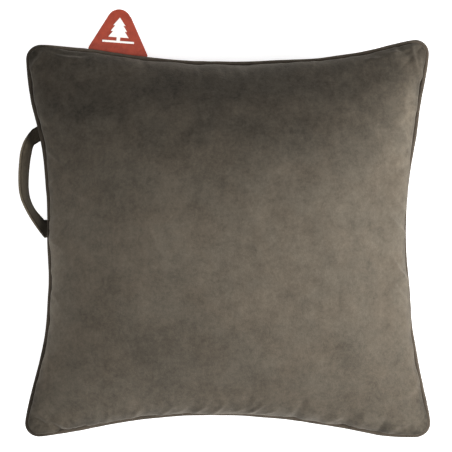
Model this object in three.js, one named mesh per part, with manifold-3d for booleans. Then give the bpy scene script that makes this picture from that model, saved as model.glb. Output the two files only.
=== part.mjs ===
// A camp pillow: a square velvet cover, piped all round its seam, over a fibre-filled insert.
// A carrying loop and a tag are sewn into the seam, and a zip in the lower side lets the insert out.
//
// Millimetres, +Z up. The pillow lies on its back with its front face up. The origin is on the floor
// under the middle. The seam lies level: the carrying loop is on its -X side, the tag on its +Y side
// and the zip on its -Y side.
import * as THREE from 'three';
import { mergeVertices } from 'three/addons/utils/BufferGeometryUtils.js';
import Module from 'manifold-3d';

const wasm = await Module();
wasm.setup();

// ---------------------------------------------------------------- driving dimensions

// The seam, followed along the middle of the piping
const SEAM_HEIGHT = 62;
const CORNERS = {
  topLeft: [-212, 205],
  topRight: [212.5, 209],
  bottomLeft: [-214, -207],
  bottomRight: [214, -207],
};
const CORNER_ROUNDING = 0.08;
const HALF_SIDE = 214;
const SEAM_BEND_RADIUS = 690;
const SEAM_BEND_HALF = 150;
// How far the tension in the cover draws each side in, and where along the side it is deepest
const SIDES = {
  left: { depth: 24.5, lean: -0.05 },
  right: { depth: 26, lean: 0 },
  top: { depth: 20.5, lean: 0.12 },
  bottom: { depth: 21.9, lean: 0 },
};

// The crown of the filled cover
const FRONT_RISE = 86;
const BACK_DROP = 80;
const EDGE_BULK = 9;
const CROWN_FLATNESS = 2.2;
const CROWN_ROUNDNESS = 0.65;
const FLOOR_EASE = 12;

// Cloth
const VELVET = 1;
const CASING = 0.8;
const SEAM_ALLOWANCE = 7;

// Piping
const PIPING_RADIUS = 2.5;
const PIPING_CLOTH = 0.5;
const PIPING_CORD_RADIUS = 1.5;
const PIPING_LEG = 9;
const PIPING_LEG_HALF = 0.8;

// Carrying loop: a folded velvet strap
const STRAP_WIDTH = 21;
const STRAP_THICKNESS = 2.2;
const STRAP_DROP = 3.9;
const STRAP_REACH = 6.4;
const STRAP_UPPER_Y = 112;
const STRAP_LOWER_Y = 9.6;
const STRAP_TURN = 75;

// Tag: a rounded triangle of stiff leather cloth
const TAG_LEFT_X = -148;
const TAG_RIGHT_X = -85;
const TAG_THICKNESS = 1.6;
const TAG_DROP = 3.6;
const TAG_REACH = 4.6;
const TAG_HEIGHT = 44.4;
const TAG_TIP_RADIUS = 13;
const TAG_LEFT_SLOPE = 24.1;
const TAG_RIGHT_SLOPE = 31.8;
const PRINT_THICKNESS = 0.4;

// Zip, in the plane of the cover's lower wall
const ZIP_HALF = 143;
const ZIP_SLOPE = 66;
const ZIP_TOP = { inward: 5.2, drop: 1.5 };
const TAPE = 0.5;
const TAPE_END = 13;
const CHAIN_MIDDLE = 4.5;
const COIL_WIDTH = 1.95;
const COIL_HEIGHT = 1.8;
const SLIDER_LENGTH = 11;
const SLIDER_HALF_WIDTH = 3.5;
const SLIDER_TOP = 3.2;
const SLIDER_WALL = 1.1;
const SLIDER_ROOF = 0.8;
const SLIDER_EDGE = 0.5;
const SLIDER_NOSE = { half: 2.3, taper: 4 };
const BRIDGE = { half: 3.4, width: 1.6, wall: 0.8, underside: 4.7, top: 5.4, corner: 0.5 };
const PULL_LENGTH = 24;
const PULL_WIDTH = 5.5;
const PULL_THICKNESS = 0.8;
const PULL_PIN_HEIGHT = 3.95;
const PULL_PIN_HALF = 0.4;
const PULL_NECK = { taper: 0.6, length: 5 };
const PULL_EYE = { half: 1.2, end: 5.2 };
const PULL_GRIP_HOLE = 1.3;
const STOP_LENGTH = 2.5;
const TAPE_PAST_STOPS = 4;
const ZIP_STEPS = 24;
const ZIP_MOUTH = { depth: 11.2, pastStops: 6, from: -1, to: 14 };

// Space between pieces that touch on the real pillow
const GAP = 0.3;
const NOTCH_SLACK = 0.35;

// How finely the surfaces are divided
const SIDE_STEPS = 12;
const CORNER_STEPS = 4;
const LOOP_STEPS = 26;
const RINGS = [0.97, 0.9, 0.78, 0.62, 0.42, 0.2];

// ---------------------------------------------------------------- materials

const velvet = { color: 0x6b6154, roughness: 0.9, metalness: 0 };
const pipingVelvet = { color: 0x4d453a, roughness: 0.9, metalness: 0 };
const cotton = { color: 0xe9e4d8, roughness: 0.95, metalness: 0 };
const fibre = { color: 0xf6f5f1, roughness: 1, metalness: 0 };
const leatherCloth = { color: 0xa84d37, roughness: 0.6, metalness: 0 };
const whitePrint = { color: 0xf4f1ea, roughness: 0.6, metalness: 0 };
const tapeCloth = { color: 0x4a4339, roughness: 0.85, metalness: 0 };
const nylon = { color: 0x3d372f, roughness: 0.45, metalness: 0 };
const zincAlloy = { color: 0x57524a, roughness: 0.4, metalness: 0.8 };

const pillow = new THREE.Group();

function addPiece(name, geometry, finish, parent = pillow) {
  const piece = new THREE.Mesh(geometry, new THREE.MeshStandardMaterial(finish));
  piece.name = name;
  parent.add(piece);
  return piece;
}

// ---------------------------------------------------------------- surfaces from rows of points

function geometryFrom(points, faces) {
  let volume = 0;
  for (const [a, b, c] of faces) {
    volume += points[a].dot(new THREE.Vector3().crossVectors(points[b], points[c]));
  }
  const outward = volume > 0 ? faces : faces.map(([a, b, c]) => [a, c, b]);
  const geometry = new THREE.BufferGeometry().setFromPoints(points);
  geometry.setIndex(outward.flat());
  return geometry;
}

function bandFaces(rowStart, nextStart, count, crossed = false) {
  const faces = [];
  for (let i = 0; i < count; i += 1) {
    const j = (i + 1) % count;
    const [from, to] = crossed ? [rowStart + j, nextStart + i] : [rowStart + i, nextStart + j];
    faces.push([rowStart + i, rowStart + j, to]);
    faces.push([from, nextStart + j, nextStart + i]);
  }
  return faces;
}

// A skin through closed rows, ended by a single point on each side. From row `turn` on its bands are
// split the other way, so that the two faces of a thin shell keep the same creases
function skinBetween(firstPoint, rows, lastPoint, turn = rows.length) {
  const count = rows[0].length;
  const points = [firstPoint, ...rows.flat(), lastPoint];
  const last = points.length - 1;
  const faces = [];
  for (let i = 0; i < count; i += 1) {
    const j = (i + 1) % count;
    faces.push([0, 1 + j, 1 + i]);
    faces.push([last, last - count + i, last - count + j]);
  }
  for (let row = 0; row < rows.length - 1; row += 1) {
    faces.push(...bandFaces(1 + row * count, 1 + (row + 1) * count, count, row >= turn));
  }
  return geometryFrom(points, faces);
}

// A skin through closed rows that meets itself again
function skinRound(rows) {
  const count = rows[0].length;
  const faces = rows.flatMap((_, row) => bandFaces(row * count, ((row + 1) % rows.length) * count, count));
  return geometryFrom(rows.flat(), faces);
}

// A flat outline carried along places: place(step, x, y) puts a point of the outline
function sweep(outline, steps, place) {
  const flat = outline.map(([x, y]) => new THREE.Vector2(x, y));
  if (THREE.ShapeUtils.isClockWise(flat)) {
    flat.reverse();
  }
  const count = flat.length;
  const end = steps * count;
  const rows = Array.from({ length: steps + 1 }, (_, step) => flat.map(({ x, y }) => place(step, x, y)));
  const cap = THREE.ShapeUtils.triangulateShape(flat, []);
  const faces = cap.flatMap(([i, j, k]) => [[i, k, j], [end + i, end + j, end + k]]);
  for (let row = 0; row < steps; row += 1) {
    faces.push(...bandFaces(row * count, (row + 1) * count, count));
  }
  return geometryFrom(rows.flat(), faces);
}

function shapeFrom(points) {
  return new THREE.Shape(points.map(([x, y]) => new THREE.Vector2(x, y)));
}

// ---------------------------------------------------------------- joining and cutting

function toSolid(geometry) {
  const bare = geometry.clone();
  bare.deleteAttribute('normal');
  bare.deleteAttribute('uv');
  const merged = mergeVertices(bare);
  return new wasm.Manifold(new wasm.Mesh({
    numProp: 3,
    vertProperties: new Float32Array(merged.attributes.position.array),
    triVerts: new Uint32Array(merged.index.array),
  }));
}

function toGeometry(solid) {
  const mesh = solid.getMesh();
  const geometry = new THREE.BufferGeometry();
  geometry.setAttribute('position', new THREE.BufferAttribute(mesh.vertProperties, mesh.numProp));
  geometry.setIndex(new THREE.BufferAttribute(mesh.triVerts, 1));
  return geometry;
}

// ---------------------------------------------------------------- the plan of the cover

// u and v run from -1 to 1 across the cover; this rounds the corners of that square
function roundCorners(u, v) {
  const straight = 1 - CORNER_ROUNDING;
  const du = Math.abs(u) - straight;
  const dv = Math.abs(v) - straight;
  if (du <= 0 || dv <= 0) {
    return [u, v];
  }
  const shrink = Math.max(du, dv) / Math.hypot(du, dv);
  return [Math.sign(u) * (straight + du * shrink), Math.sign(v) * (straight + dv * shrink)];
}

// The share of its depth that a side is drawn in, 1 where it is deepest and 0 at its corners:
// a circular arc along the middle, then a curve that levels out at the corner
function drawnIn(w, { depth, lean }) {
  const x = Math.abs(w - lean * (1 - w * w)) * HALF_SIDE;
  const arcDrop = (t) => SEAM_BEND_RADIUS - Math.sqrt(SEAM_BEND_RADIUS ** 2 - t * t);
  const full = SIDES.bottom.depth;
  if (x <= SEAM_BEND_HALF) {
    return depth * (1 - arcDrop(x) / full);
  }
  const span = HALF_SIDE - SEAM_BEND_HALF;
  const slope = SEAM_BEND_HALF / Math.sqrt(SEAM_BEND_RADIUS ** 2 - SEAM_BEND_HALF ** 2);
  const start = arcDrop(SEAM_BEND_HALF);
  const t = (x - SEAM_BEND_HALF) / span;
  const rise = (full - start) * (3 * t ** 2 - 2 * t ** 3);
  const eased = start + rise + slope * span * (t ** 3 - 2 * t ** 2 + t);
  return depth * (1 - eased / full);
}

function plan(u, v) {
  const { lerp } = THREE.MathUtils;
  const [ru, rv] = roundCorners(u, v);
  const across = (1 + ru) / 2;
  const up = (1 + rv) / 2;
  const left = lerp(CORNERS.bottomLeft[0], CORNERS.topLeft[0], up) + drawnIn(rv, SIDES.left);
  const right = lerp(CORNERS.bottomRight[0], CORNERS.topRight[0], up) - drawnIn(rv, SIDES.right);
  const bottom = lerp(CORNERS.bottomLeft[1], CORNERS.bottomRight[1], across) + drawnIn(ru, SIDES.bottom);
  const top = lerp(CORNERS.topLeft[1], CORNERS.topRight[1], across) - drawnIn(ru, SIDES.top);
  return new THREE.Vector2(lerp(left, right, across), lerp(bottom, top, up));
}

// The seam runs anticlockwise round the edge of the (u, v) square as t goes from 0 to 4:
// up the right side, along the top, down the left side and back along the bottom
function squareEdge(t) {
  const side = Math.floor(t);
  let [u, v] = [1, 2 * (t - side) - 1];
  for (let i = 0; i < side; i += 1) {
    [u, v] = [-v, u];
  }
  return [u, v];
}

function seamStations() {
  const straight = 1 - CORNER_ROUNDING;
  const stepAngle = Math.PI / 2 / CORNER_STEPS;
  const bends = [];
  for (let i = CORNER_STEPS / 2; i > 0; i -= 1) {
    bends.push(straight + CORNER_ROUNDING * Math.tan(i * stepAngle));
  }
  const level = Array.from({ length: SIDE_STEPS + 1 }, (_, i) => straight * (2 * i / SIDE_STEPS - 1));
  const along = [...bends.map((w) => -w), ...level, ...bends.slice(1).reverse()];
  return [0, 1, 2, 3].flatMap((side) => along.map((w) => side + (1 + w) / 2));
}

const stations = seamStations();
const coarseStations = stations.filter((_, i) => i % 2 === 0);
const topSeamAt = (x) => 1 + (CORNERS.topRight[0] - x) / (CORNERS.topRight[0] - CORNERS.topLeft[0]);
const leftSeamAt = (y) => 2 + (CORNERS.topLeft[1] - y) / (CORNERS.topLeft[1] - CORNERS.bottomLeft[1]);

// The direction out of the cover, in plan, at a place on the seam
function outwardAt(t) {
  const step = 0.002;
  const along = plan(...squareEdge((t + step) % 4)).sub(plan(...squareEdge((t + 4 - step) % 4)));
  return new THREE.Vector2(along.y, -along.x).normalize();
}

// A point beside the seam: inward from the middle of the piping, and above its plane
function besideSeam(t, inward, above) {
  const at = plan(...squareEdge(t)).addScaledVector(outwardAt(t), -inward);
  return new THREE.Vector3(at.x, at.y, SEAM_HEIGHT + above);
}

// ---------------------------------------------------------------- the crowned layers

// Each layer is a front (side 1) and a back (side -1) that rise from its own rim beside the seam
const layers = {
  cover: { inset: 3.2, rim: 1.2, front: FRONT_RISE, back: BACK_DROP, floor: 0 },
  casing: { inset: 15, rim: 0.5, front: FRONT_RISE - 2.6, back: BACK_DROP - 2.6, floor: 2 },
  filling: { inset: 19, rim: 0, front: FRONT_RISE - 4.2, back: BACK_DROP - 4.2, floor: 3.4 },
};

// The smaller of a and b, eased where they meet
function easedMinimum(a, b, ease) {
  const share = THREE.MathUtils.clamp(0.5 + (0.5 * (b - a)) / ease, 0, 1);
  return THREE.MathUtils.lerp(b, a, share) - ease * share * (1 - share);
}

function crown(w) {
  return (1 - Math.abs(w) ** CROWN_FLATNESS) ** CROWN_ROUNDNESS;
}

// A point level with a layer's rim, moved inward towards the middle and above the seam's plane
function rimPoint(layer, t, inward, above) {
  const size = 1 - (layer.inset + inward) / HALF_SIDE;
  const at = plan(...squareEdge(t).map((w) => w * size));
  return new THREE.Vector3(at.x, at.y, SEAM_HEIGHT + above);
}

// A point of a layer, on the ring of that size and level with a place on the seam
function layerPoint(layer, side, t, ring) {
  const [u, v] = squareEdge(t).map((w) => w * ring);
  const size = 1 - layer.inset / HALF_SIDE;
  const at = plan(u * size, v * size);
  const bulk = EDGE_BULK * Math.sqrt(1 - ring ** 12);
  const reach = (side > 0 ? layer.front : layer.back) - layer.rim - EDGE_BULK;
  const height = layer.rim + bulk + reach * crown(u) * crown(v);
  const limited = side > 0 ? height : easedMinimum(height, SEAM_HEIGHT - layer.floor, FLOOR_EASE);
  return new THREE.Vector3(at.x, at.y, SEAM_HEIGHT + side * limited);
}

// The same point moved through the layer's cloth, square to its surface
function innerPoint(layer, side, places, index, ring, thickness) {
  const count = places.length;
  const point = layerPoint(layer, side, places[index], ring);
  const across = layerPoint(layer, side, places[index], ring - 0.01).sub(point);
  const next = layerPoint(layer, side, places[(index + 1) % count], ring);
  const before = layerPoint(layer, side, places[(index + count - 1) % count], ring);
  const normal = next.sub(before).cross(across).normalize();
  return point.addScaledVector(normal, normal.z * side > 0 ? -thickness : thickness);
}

function layerPole(layer, side, depth) {
  return layerPoint(layer, side, 0, 0).add(new THREE.Vector3(0, 0, -side * depth));
}

// One face of a layer as a shell of cloth; its edge turns in along the seam by the allowance
function shell(layer, side, places, thickness, allowance) {
  const edge = (inward, above) => places.map((t) => rimPoint(layer, t, inward, side * above));
  const outer = [1, ...RINGS].map((ring) => places.map((t) => layerPoint(layer, side, t, ring)));
  const innerRow = (ring) => places.map((_, i) => innerPoint(layer, side, places, i, ring, thickness));
  const inner = RINGS.map(innerRow);
  const allowanceRows = [edge(allowance, layer.rim), edge(allowance, layer.rim + thickness)];
  const turnIn = edge(1.6 * thickness, layer.rim + (allowance > 0 ? thickness : 0));
  const rows = [...outer.reverse(), ...(allowance > 0 ? allowanceRows : []), turnIn, ...inner];
  const turn = rows.length - inner.length - 1;
  return skinBetween(layerPole(layer, side, 0), rows, layerPole(layer, side, thickness), turn);
}

function fillingBody(layer, places) {
  const rows = (side) => RINGS.map((ring) => places.map((t) => layerPoint(layer, side, t, ring)));
  const rim = places.map((t) => rimPoint(layer, t, 0, 0));
  const all = [...rows(1).reverse(), rim, ...rows(-1)];
  return skinBetween(layerPole(layer, 1, 0), all, layerPole(layer, -1, 0), RINGS.length);
}

// ---------------------------------------------------------------- piping

function arcPoints(radius, from, to, steps) {
  return Array.from({ length: steps + 1 }, (_, i) => {
    const angle = from + ((to - from) * i) / steps;
    return [radius * Math.cos(angle), radius * Math.sin(angle)];
  });
}

// The folded strip: round the cord, with both its edges running in between the two faces of the cover
function pipingOutline() {
  const outerAngle = Math.asin(PIPING_LEG_HALF / PIPING_RADIUS);
  const innerRadius = PIPING_RADIUS - PIPING_CLOTH;
  const slit = PIPING_LEG_HALF - PIPING_CLOTH;
  const innerAngle = Math.asin(slit / innerRadius);
  const full = 2 * Math.PI;
  return [
    [PIPING_LEG, PIPING_LEG_HALF],
    ...arcPoints(PIPING_RADIUS, outerAngle, full - outerAngle, 8),
    [PIPING_LEG, -PIPING_LEG_HALF],
    [PIPING_LEG, -slit],
    ...arcPoints(innerRadius, full - innerAngle, innerAngle, 8),
    [PIPING_LEG, slit],
  ];
}

function roundTheSeam(outline) {
  return skinRound(stations.map((t) => outline.map(([inward, above]) => besideSeam(t, inward, above))));
}

addPiece('piping_sleeve', roundTheSeam(pipingOutline()), pipingVelvet);
addPiece('piping_cord', roundTheSeam(arcPoints(PIPING_CORD_RADIUS, 0, 2 * Math.PI, 8).slice(1)), cotton);

// ---------------------------------------------------------------- zip

const slope = THREE.MathUtils.degToRad(ZIP_SLOPE);
const bendCentreY = CORNERS.bottomLeft[1] + SIDES.bottom.depth - SEAM_BEND_RADIUS;
const angleOf = (length) => length / SEAM_BEND_RADIUS;

// A point in the zip's section: down the tape from its top edge, and outward from its face
function zipSection(down, outward) {
  return [
    ZIP_TOP.inward + down * Math.cos(slope) - outward * Math.sin(slope),
    -ZIP_TOP.drop - down * Math.sin(slope) - outward * Math.cos(slope),
  ];
}

// An outline of (inward, above) points carried along the lower seam's arc
function alongZip(outline, from, to, steps) {
  return sweep(outline, steps, (step, inward, above) => {
    const angle = angleOf(from + ((to - from) * step) / steps);
    const radius = SEAM_BEND_RADIUS + inward;
    return new THREE.Vector3(
      radius * Math.sin(angle),
      bendCentreY + radius * Math.cos(angle),
      SEAM_HEIGHT + above,
    );
  });
}

const zipBar = (downFrom, downTo, outFrom, outTo) => [
  zipSection(downFrom, outFrom),
  zipSection(downTo, outFrom),
  zipSection(downTo, outTo),
  zipSection(downFrom, outTo),
];

const coilTop = CHAIN_MIDDLE - GAP / 2 - COIL_WIDTH;
const coilBottom = CHAIN_MIDDLE + GAP / 2 + COIL_WIDTH;
const coilOut = GAP + COIL_HEIGHT;
const upperTapeOutline = [
  [PIPING_LEG, -PIPING_LEG_HALF - GAP],
  [PIPING_LEG, -PIPING_LEG_HALF - GAP - TAPE],
  [zipSection(0, -TAPE)[0] + 0.3, -PIPING_LEG_HALF - GAP - TAPE],
  zipSection(CHAIN_MIDDLE - GAP / 2, -TAPE),
  zipSection(CHAIN_MIDDLE - GAP / 2, 0),
  [ZIP_TOP.inward, -PIPING_LEG_HALF - GAP],
];
const lowerTapeOutline = zipBar(CHAIN_MIDDLE + GAP / 2, TAPE_END, -TAPE, 0);

const tapeHalf = ZIP_HALF + TAPE_PAST_STOPS;
addPiece('zip_tape_upper', alongZip(upperTapeOutline, -tapeHalf, tapeHalf, ZIP_STEPS), tapeCloth);
addPiece('zip_tape_lower', alongZip(lowerTapeOutline, -tapeHalf, tapeHalf, ZIP_STEPS), tapeCloth);

const coilFrom = -ZIP_HALF + STOP_LENGTH + GAP;
const coilTo = ZIP_HALF - STOP_LENGTH - GAP;
const upperCoil = zipBar(coilTop, CHAIN_MIDDLE - GAP / 2, GAP, coilOut);
const lowerCoil = zipBar(CHAIN_MIDDLE + GAP / 2, coilBottom, GAP, coilOut);
addPiece('zip_coil_upper', alongZip(upperCoil, coilFrom, coilTo, ZIP_STEPS), nylon);
addPiece('zip_coil_lower', alongZip(lowerCoil, coilFrom, coilTo, ZIP_STEPS), nylon);

const stopOutline = zipBar(coilTop - 0.2, coilBottom + 0.2, GAP, coilOut + 0.2);
addPiece('zip_top_stop', alongZip(stopOutline, -ZIP_HALF, -ZIP_HALF + STOP_LENGTH, 1), nylon);
addPiece('zip_bottom_stop', alongZip(stopOutline, ZIP_HALF - STOP_LENGTH, ZIP_HALF, 1), nylon);

// The slider's own frame: x down the tape, y out of the zip, z back along the chain
const sliderAngle = angleOf(-ZIP_HALF + STOP_LENGTH + GAP + SLIDER_LENGTH / 2);
const sliderSwing = new THREE.Group();
sliderSwing.position.set(0, bendCentreY, 0);
sliderSwing.rotation.z = -sliderAngle;
pillow.add(sliderSwing);
const sliderFrame = new THREE.Group();
const [sliderInward, sliderAbove] = zipSection(CHAIN_MIDDLE, 0);
sliderFrame.matrixAutoUpdate = false;
sliderFrame.matrix.makeBasis(
  new THREE.Vector3(0, Math.cos(slope), -Math.sin(slope)),
  new THREE.Vector3(0, -Math.sin(slope), -Math.cos(slope)),
  new THREE.Vector3(-1, 0, 0),
);
sliderFrame.matrix.setPosition(0, SEAM_BEND_RADIUS + sliderInward, SEAM_HEIGHT + sliderAbove);
sliderSwing.add(sliderFrame);

// A channel over the chain: a shield-shaped top, two side walls, and the bridge that holds the pull
function sliderGeometry() {
  const half = SLIDER_HALF_WIDTH;
  const inner = half - SLIDER_WALL;
  const ceiling = SLIDER_TOP - SLIDER_ROOF;
  const channel = shapeFrom([
    [-half, GAP],
    [-inner, GAP],
    [-inner, ceiling],
    [inner, ceiling],
    [inner, GAP],
    [half, GAP],
    [half, SLIDER_TOP - SLIDER_EDGE],
    [half - SLIDER_EDGE, SLIDER_TOP],
    [-half + SLIDER_EDGE, SLIDER_TOP],
    [-half, SLIDER_TOP - SLIDER_EDGE],
  ]);
  const options = { depth: SLIDER_LENGTH, bevelEnabled: false };
  const body = new THREE.ExtrudeGeometry(channel, options).translate(0, 0, -SLIDER_LENGTH / 2);

  const tip = SLIDER_LENGTH / 2;
  const past = 1;
  const shield = shapeFrom([
    [-half - past, -tip - past],
    [half + past, -tip - past],
    [half + past, tip - SLIDER_NOSE.taper],
    [SLIDER_NOSE.half, tip],
    [-SLIDER_NOSE.half, tip],
    [-half - past, tip - SLIDER_NOSE.taper],
  ]);
  const maskHeight = 3 * SLIDER_TOP;
  const mask = new THREE.ExtrudeGeometry(shield, { depth: maskHeight, bevelEnabled: false });
  mask.rotateX(Math.PI / 2).translate(0, maskHeight - past, 0);

  const foot = SLIDER_TOP - SLIDER_EDGE / 2;
  const innerHalf = BRIDGE.half - BRIDGE.wall;
  const arch = shapeFrom([
    [-BRIDGE.half, foot],
    [-innerHalf, foot],
    [-innerHalf, BRIDGE.underside],
    [innerHalf, BRIDGE.underside],
    [innerHalf, foot],
    [BRIDGE.half, foot],
    [BRIDGE.half, BRIDGE.top - BRIDGE.corner],
    [BRIDGE.half - BRIDGE.corner, BRIDGE.top],
    [-BRIDGE.half + BRIDGE.corner, BRIDGE.top],
    [-BRIDGE.half, BRIDGE.top - BRIDGE.corner],
  ]);
  const bridge = new THREE.ExtrudeGeometry(arch, { depth: BRIDGE.width, bevelEnabled: false });
  bridge.translate(0, 0, -BRIDGE.width / 2).rotateY(Math.PI / 2);
  return toGeometry(toSolid(body).intersect(toSolid(mask)).add(toSolid(bridge)));
}

addPiece('zip_slider', sliderGeometry(), zincAlloy, sliderFrame);

// The pull lies back along the chain; its pin passes under the slider's bridge
function pullGeometry() {
  const half = PULL_WIDTH / 2;
  const waist = half - PULL_NECK.taper;
  const round = PULL_LENGTH - half;
  const outline = new THREE.Shape();
  outline.moveTo(-waist, -PULL_PIN_HALF);
  outline.lineTo(waist, -PULL_PIN_HALF);
  outline.lineTo(half - GAP, PULL_NECK.length);
  outline.absarc(0, round, half, 0, Math.PI, false);
  outline.lineTo(-half + GAP, PULL_NECK.length);
  const eye = new THREE.Path([
    [-PULL_EYE.half, PULL_PIN_HALF],
    [-PULL_EYE.half, PULL_EYE.end],
    [PULL_EYE.half, PULL_EYE.end],
    [PULL_EYE.half, PULL_PIN_HALF],
  ].map(([x, y]) => new THREE.Vector2(x, y)));
  outline.holes.push(eye);
  const grip = new THREE.Path();
  grip.absarc(0, round, PULL_GRIP_HOLE, 0, 2 * Math.PI, true);
  outline.holes.push(grip);
  const options = { depth: PULL_THICKNESS, bevelEnabled: false, curveSegments: 8 };
  return new THREE.ExtrudeGeometry(outline, options).translate(0, 0, -PULL_THICKNESS / 2);
}

const pull = addPiece('zip_pull', pullGeometry(), zincAlloy, sliderFrame);
pull.rotation.x = -Math.PI / 2;
pull.position.set(0, PULL_PIN_HEIGHT, 0);

// ---------------------------------------------------------------- carrying loop

// The loop swings about the line through its two sewn ends, just outside the piping
function hingeBetween(first, last, reach, drop) {
  const from = besideSeam(first, -reach, -drop);
  const to = besideSeam(last, -reach, -drop);
  const along = to.clone().sub(from).normalize();
  const out = new THREE.Vector3(0, 0, 1).cross(along);
  return { from, to, along, out: out.dot(from) > 0 ? out : out.negate() };
}

const strapPlaces = [leftSeamAt(STRAP_UPPER_Y), leftSeamAt(STRAP_LOWER_Y)];
const strapHinge = hingeBetween(...strapPlaces, STRAP_REACH, STRAP_DROP);

// The sewn ends run from just inside the hinge line, under the piping, to the end of the allowance
function strapEnd(hingePoint, margin, thickness) {
  const start = STRAP_THICKNESS / 2 + GAP;
  const length = STRAP_REACH + PIPING_LEG - start + margin;
  const bar = new THREE.BoxGeometry(length, STRAP_WIDTH + 2 * margin, thickness);
  const centre = hingePoint.clone().addScaledVector(strapHinge.out, -start - length / 2);
  const up = new THREE.Vector3().crossVectors(strapHinge.out, strapHinge.along);
  const frame = new THREE.Matrix4().makeBasis(strapHinge.out, strapHinge.along, up);
  return bar.applyMatrix4(frame.setPosition(centre));
}

addPiece('handle_sewn_end_upper', strapEnd(strapHinge.from, 0, STRAP_THICKNESS), velvet);
addPiece('handle_sewn_end_lower', strapEnd(strapHinge.to, 0, STRAP_THICKNESS), velvet);

// The loop's middle line: out from the seam, down beside it and back in
const loopTurns = [
  [-208.8, 111.3],
  [-212.6, 108],
  [-215.3, 101],
  [-216.8, 90],
  [-217.5, 76],
  [-217.5, 62],
  [-216.6, 48],
  [-213.6, 36],
  [-208.5, 25],
  [-204, 15.5],
  [-200.7, 9.6],
];
const loopLine = new THREE.CatmullRomCurve3([
  strapHinge.from,
  ...loopTurns.map(([x, y]) => new THREE.Vector3(x, y, SEAM_HEIGHT - STRAP_DROP)),
  strapHinge.to,
]);

// The strap leaves the seam flat and turns on edge along the middle of the loop
function loopTurnAt(share) {
  const fromEnd = Math.min(share, 1 - share);
  return THREE.MathUtils.degToRad(STRAP_TURN) * THREE.MathUtils.smoothstep(fromEnd, 0.03, 0.3);
}

function loopGeometry() {
  const half = STRAP_WIDTH / 2;
  const thin = STRAP_THICKNESS / 2;
  const outline = [
    [-half, -0.4 * thin],
    [-half + 0.6, -thin],
    [half - 0.6, -thin],
    [half, -0.4 * thin],
    [half, 0.4 * thin],
    [half - 0.6, thin],
    [-half + 0.6, thin],
    [-half, 0.4 * thin],
  ];
  const rounding = [{ past: thin, share: 0.2 }, { past: 0.7 * thin, share: 0.7 }];
  const steps = Array.from({ length: LOOP_STEPS + 1 }, (_, i) => i / LOOP_STEPS);
  const middle = steps.map((at) => ({ at, past: 0, share: 1 }));
  const ribs = [
    ...rounding.map((rib) => ({ ...rib, at: 0, past: -rib.past })),
    ...middle,
    ...rounding.reverse().map((rib) => ({ ...rib, at: 1 })),
  ];
  return sweep(outline, ribs.length - 1, (step, x, y) => {
    const { at, past, share } = ribs[step];
    const turn = loopTurnAt(at);
    const end = at === 0 ? strapHinge.out : strapHinge.out.clone().negate();
    const tangent = at === 0 || at === 1 ? end : loopLine.getTangentAt(at);
    const square = THREE.MathUtils.smoothstep(Math.min(at, 1 - at), 0.05, 0.3);
    const sewn = strapHinge.along.clone().multiplyScalar(at < 0.5 ? 1 : -1);
    const flat = sewn.lerp(new THREE.Vector3(0, 0, 1).cross(tangent), square).normalize();
    const wide = flat.multiplyScalar(Math.cos(turn)).add(new THREE.Vector3(0, 0, Math.sin(turn)));
    const thickness = new THREE.Vector3().crossVectors(tangent, wide).normalize();
    return loopLine.getPointAt(at)
      .addScaledVector(tangent, past)
      .addScaledVector(wide, x)
      .addScaledVector(thickness, y * share);
  });
}

addPiece('carry_handle', loopGeometry(), velvet);

// ---------------------------------------------------------------- tag

// The tag's own frame: x along its sewn edge from left to right, y out from the pillow, z up
const tagPlaces = [topSeamAt(TAG_LEFT_X), topSeamAt(TAG_RIGHT_X)];
const tagHinge = hingeBetween(...tagPlaces, TAG_REACH, TAG_DROP);
const tagFrame = new THREE.Group();
tagFrame.position.copy(tagHinge.from);
tagFrame.rotation.z = Math.atan2(tagHinge.along.y, tagHinge.along.x);
pillow.add(tagFrame);
const tagBase = tagHinge.from.distanceTo(tagHinge.to);

function flatPlate(outline, thickness, middle) {
  const options = { depth: thickness, bevelEnabled: false, curveSegments: 10 };
  return new THREE.ExtrudeGeometry(outline, options).translate(0, 0, middle - thickness / 2);
}

function tagOutline() {
  const left = THREE.MathUtils.degToRad(TAG_LEFT_SLOPE);
  const right = THREE.MathUtils.degToRad(TAG_RIGHT_SLOPE);
  const seamEdge = PIPING_RADIUS - TAG_REACH;
  const leftAt = (y) => Math.tan(left) * (y - seamEdge);
  const rightAt = (y) => tagBase - Math.tan(right) * (y - seamEdge);
  const centreY = seamEdge + TAG_HEIGHT - TAG_TIP_RADIUS;
  const centreX = leftAt(centreY) + TAG_TIP_RADIUS / Math.cos(left);
  const outline = new THREE.Shape();
  outline.moveTo(leftAt(0), 0);
  outline.lineTo(rightAt(0), 0);
  outline.absarc(centreX, centreY, TAG_TIP_RADIUS, right, Math.PI - left, false);
  return outline;
}

function tagEdgeOutline() {
  const outer = -TAG_THICKNESS / 2 - GAP;
  const inner = -TAG_REACH - PIPING_LEG;
  const outline = new THREE.Shape();
  outline.moveTo(0, inner);
  outline.lineTo(tagBase, inner);
  outline.lineTo(tagBase, outer);
  outline.lineTo(0, outer);
  return outline;
}

// A plain pine tree on a line of ground
function treeOutline() {
  const half = [[15, 0], [15, 1.8], [1.6, 1.8], [1.6, 5], [9.5, 5], [5.2, 10.5], [7.6, 10.5], [3.8, 15.8]];
  half.push([5.6, 15.8], [0, 23]);
  const mirrored = half.slice(0, -1).reverse().map(([x, y]) => [-x, y]);
  return shapeFrom([...half, ...mirrored]);
}

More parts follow.
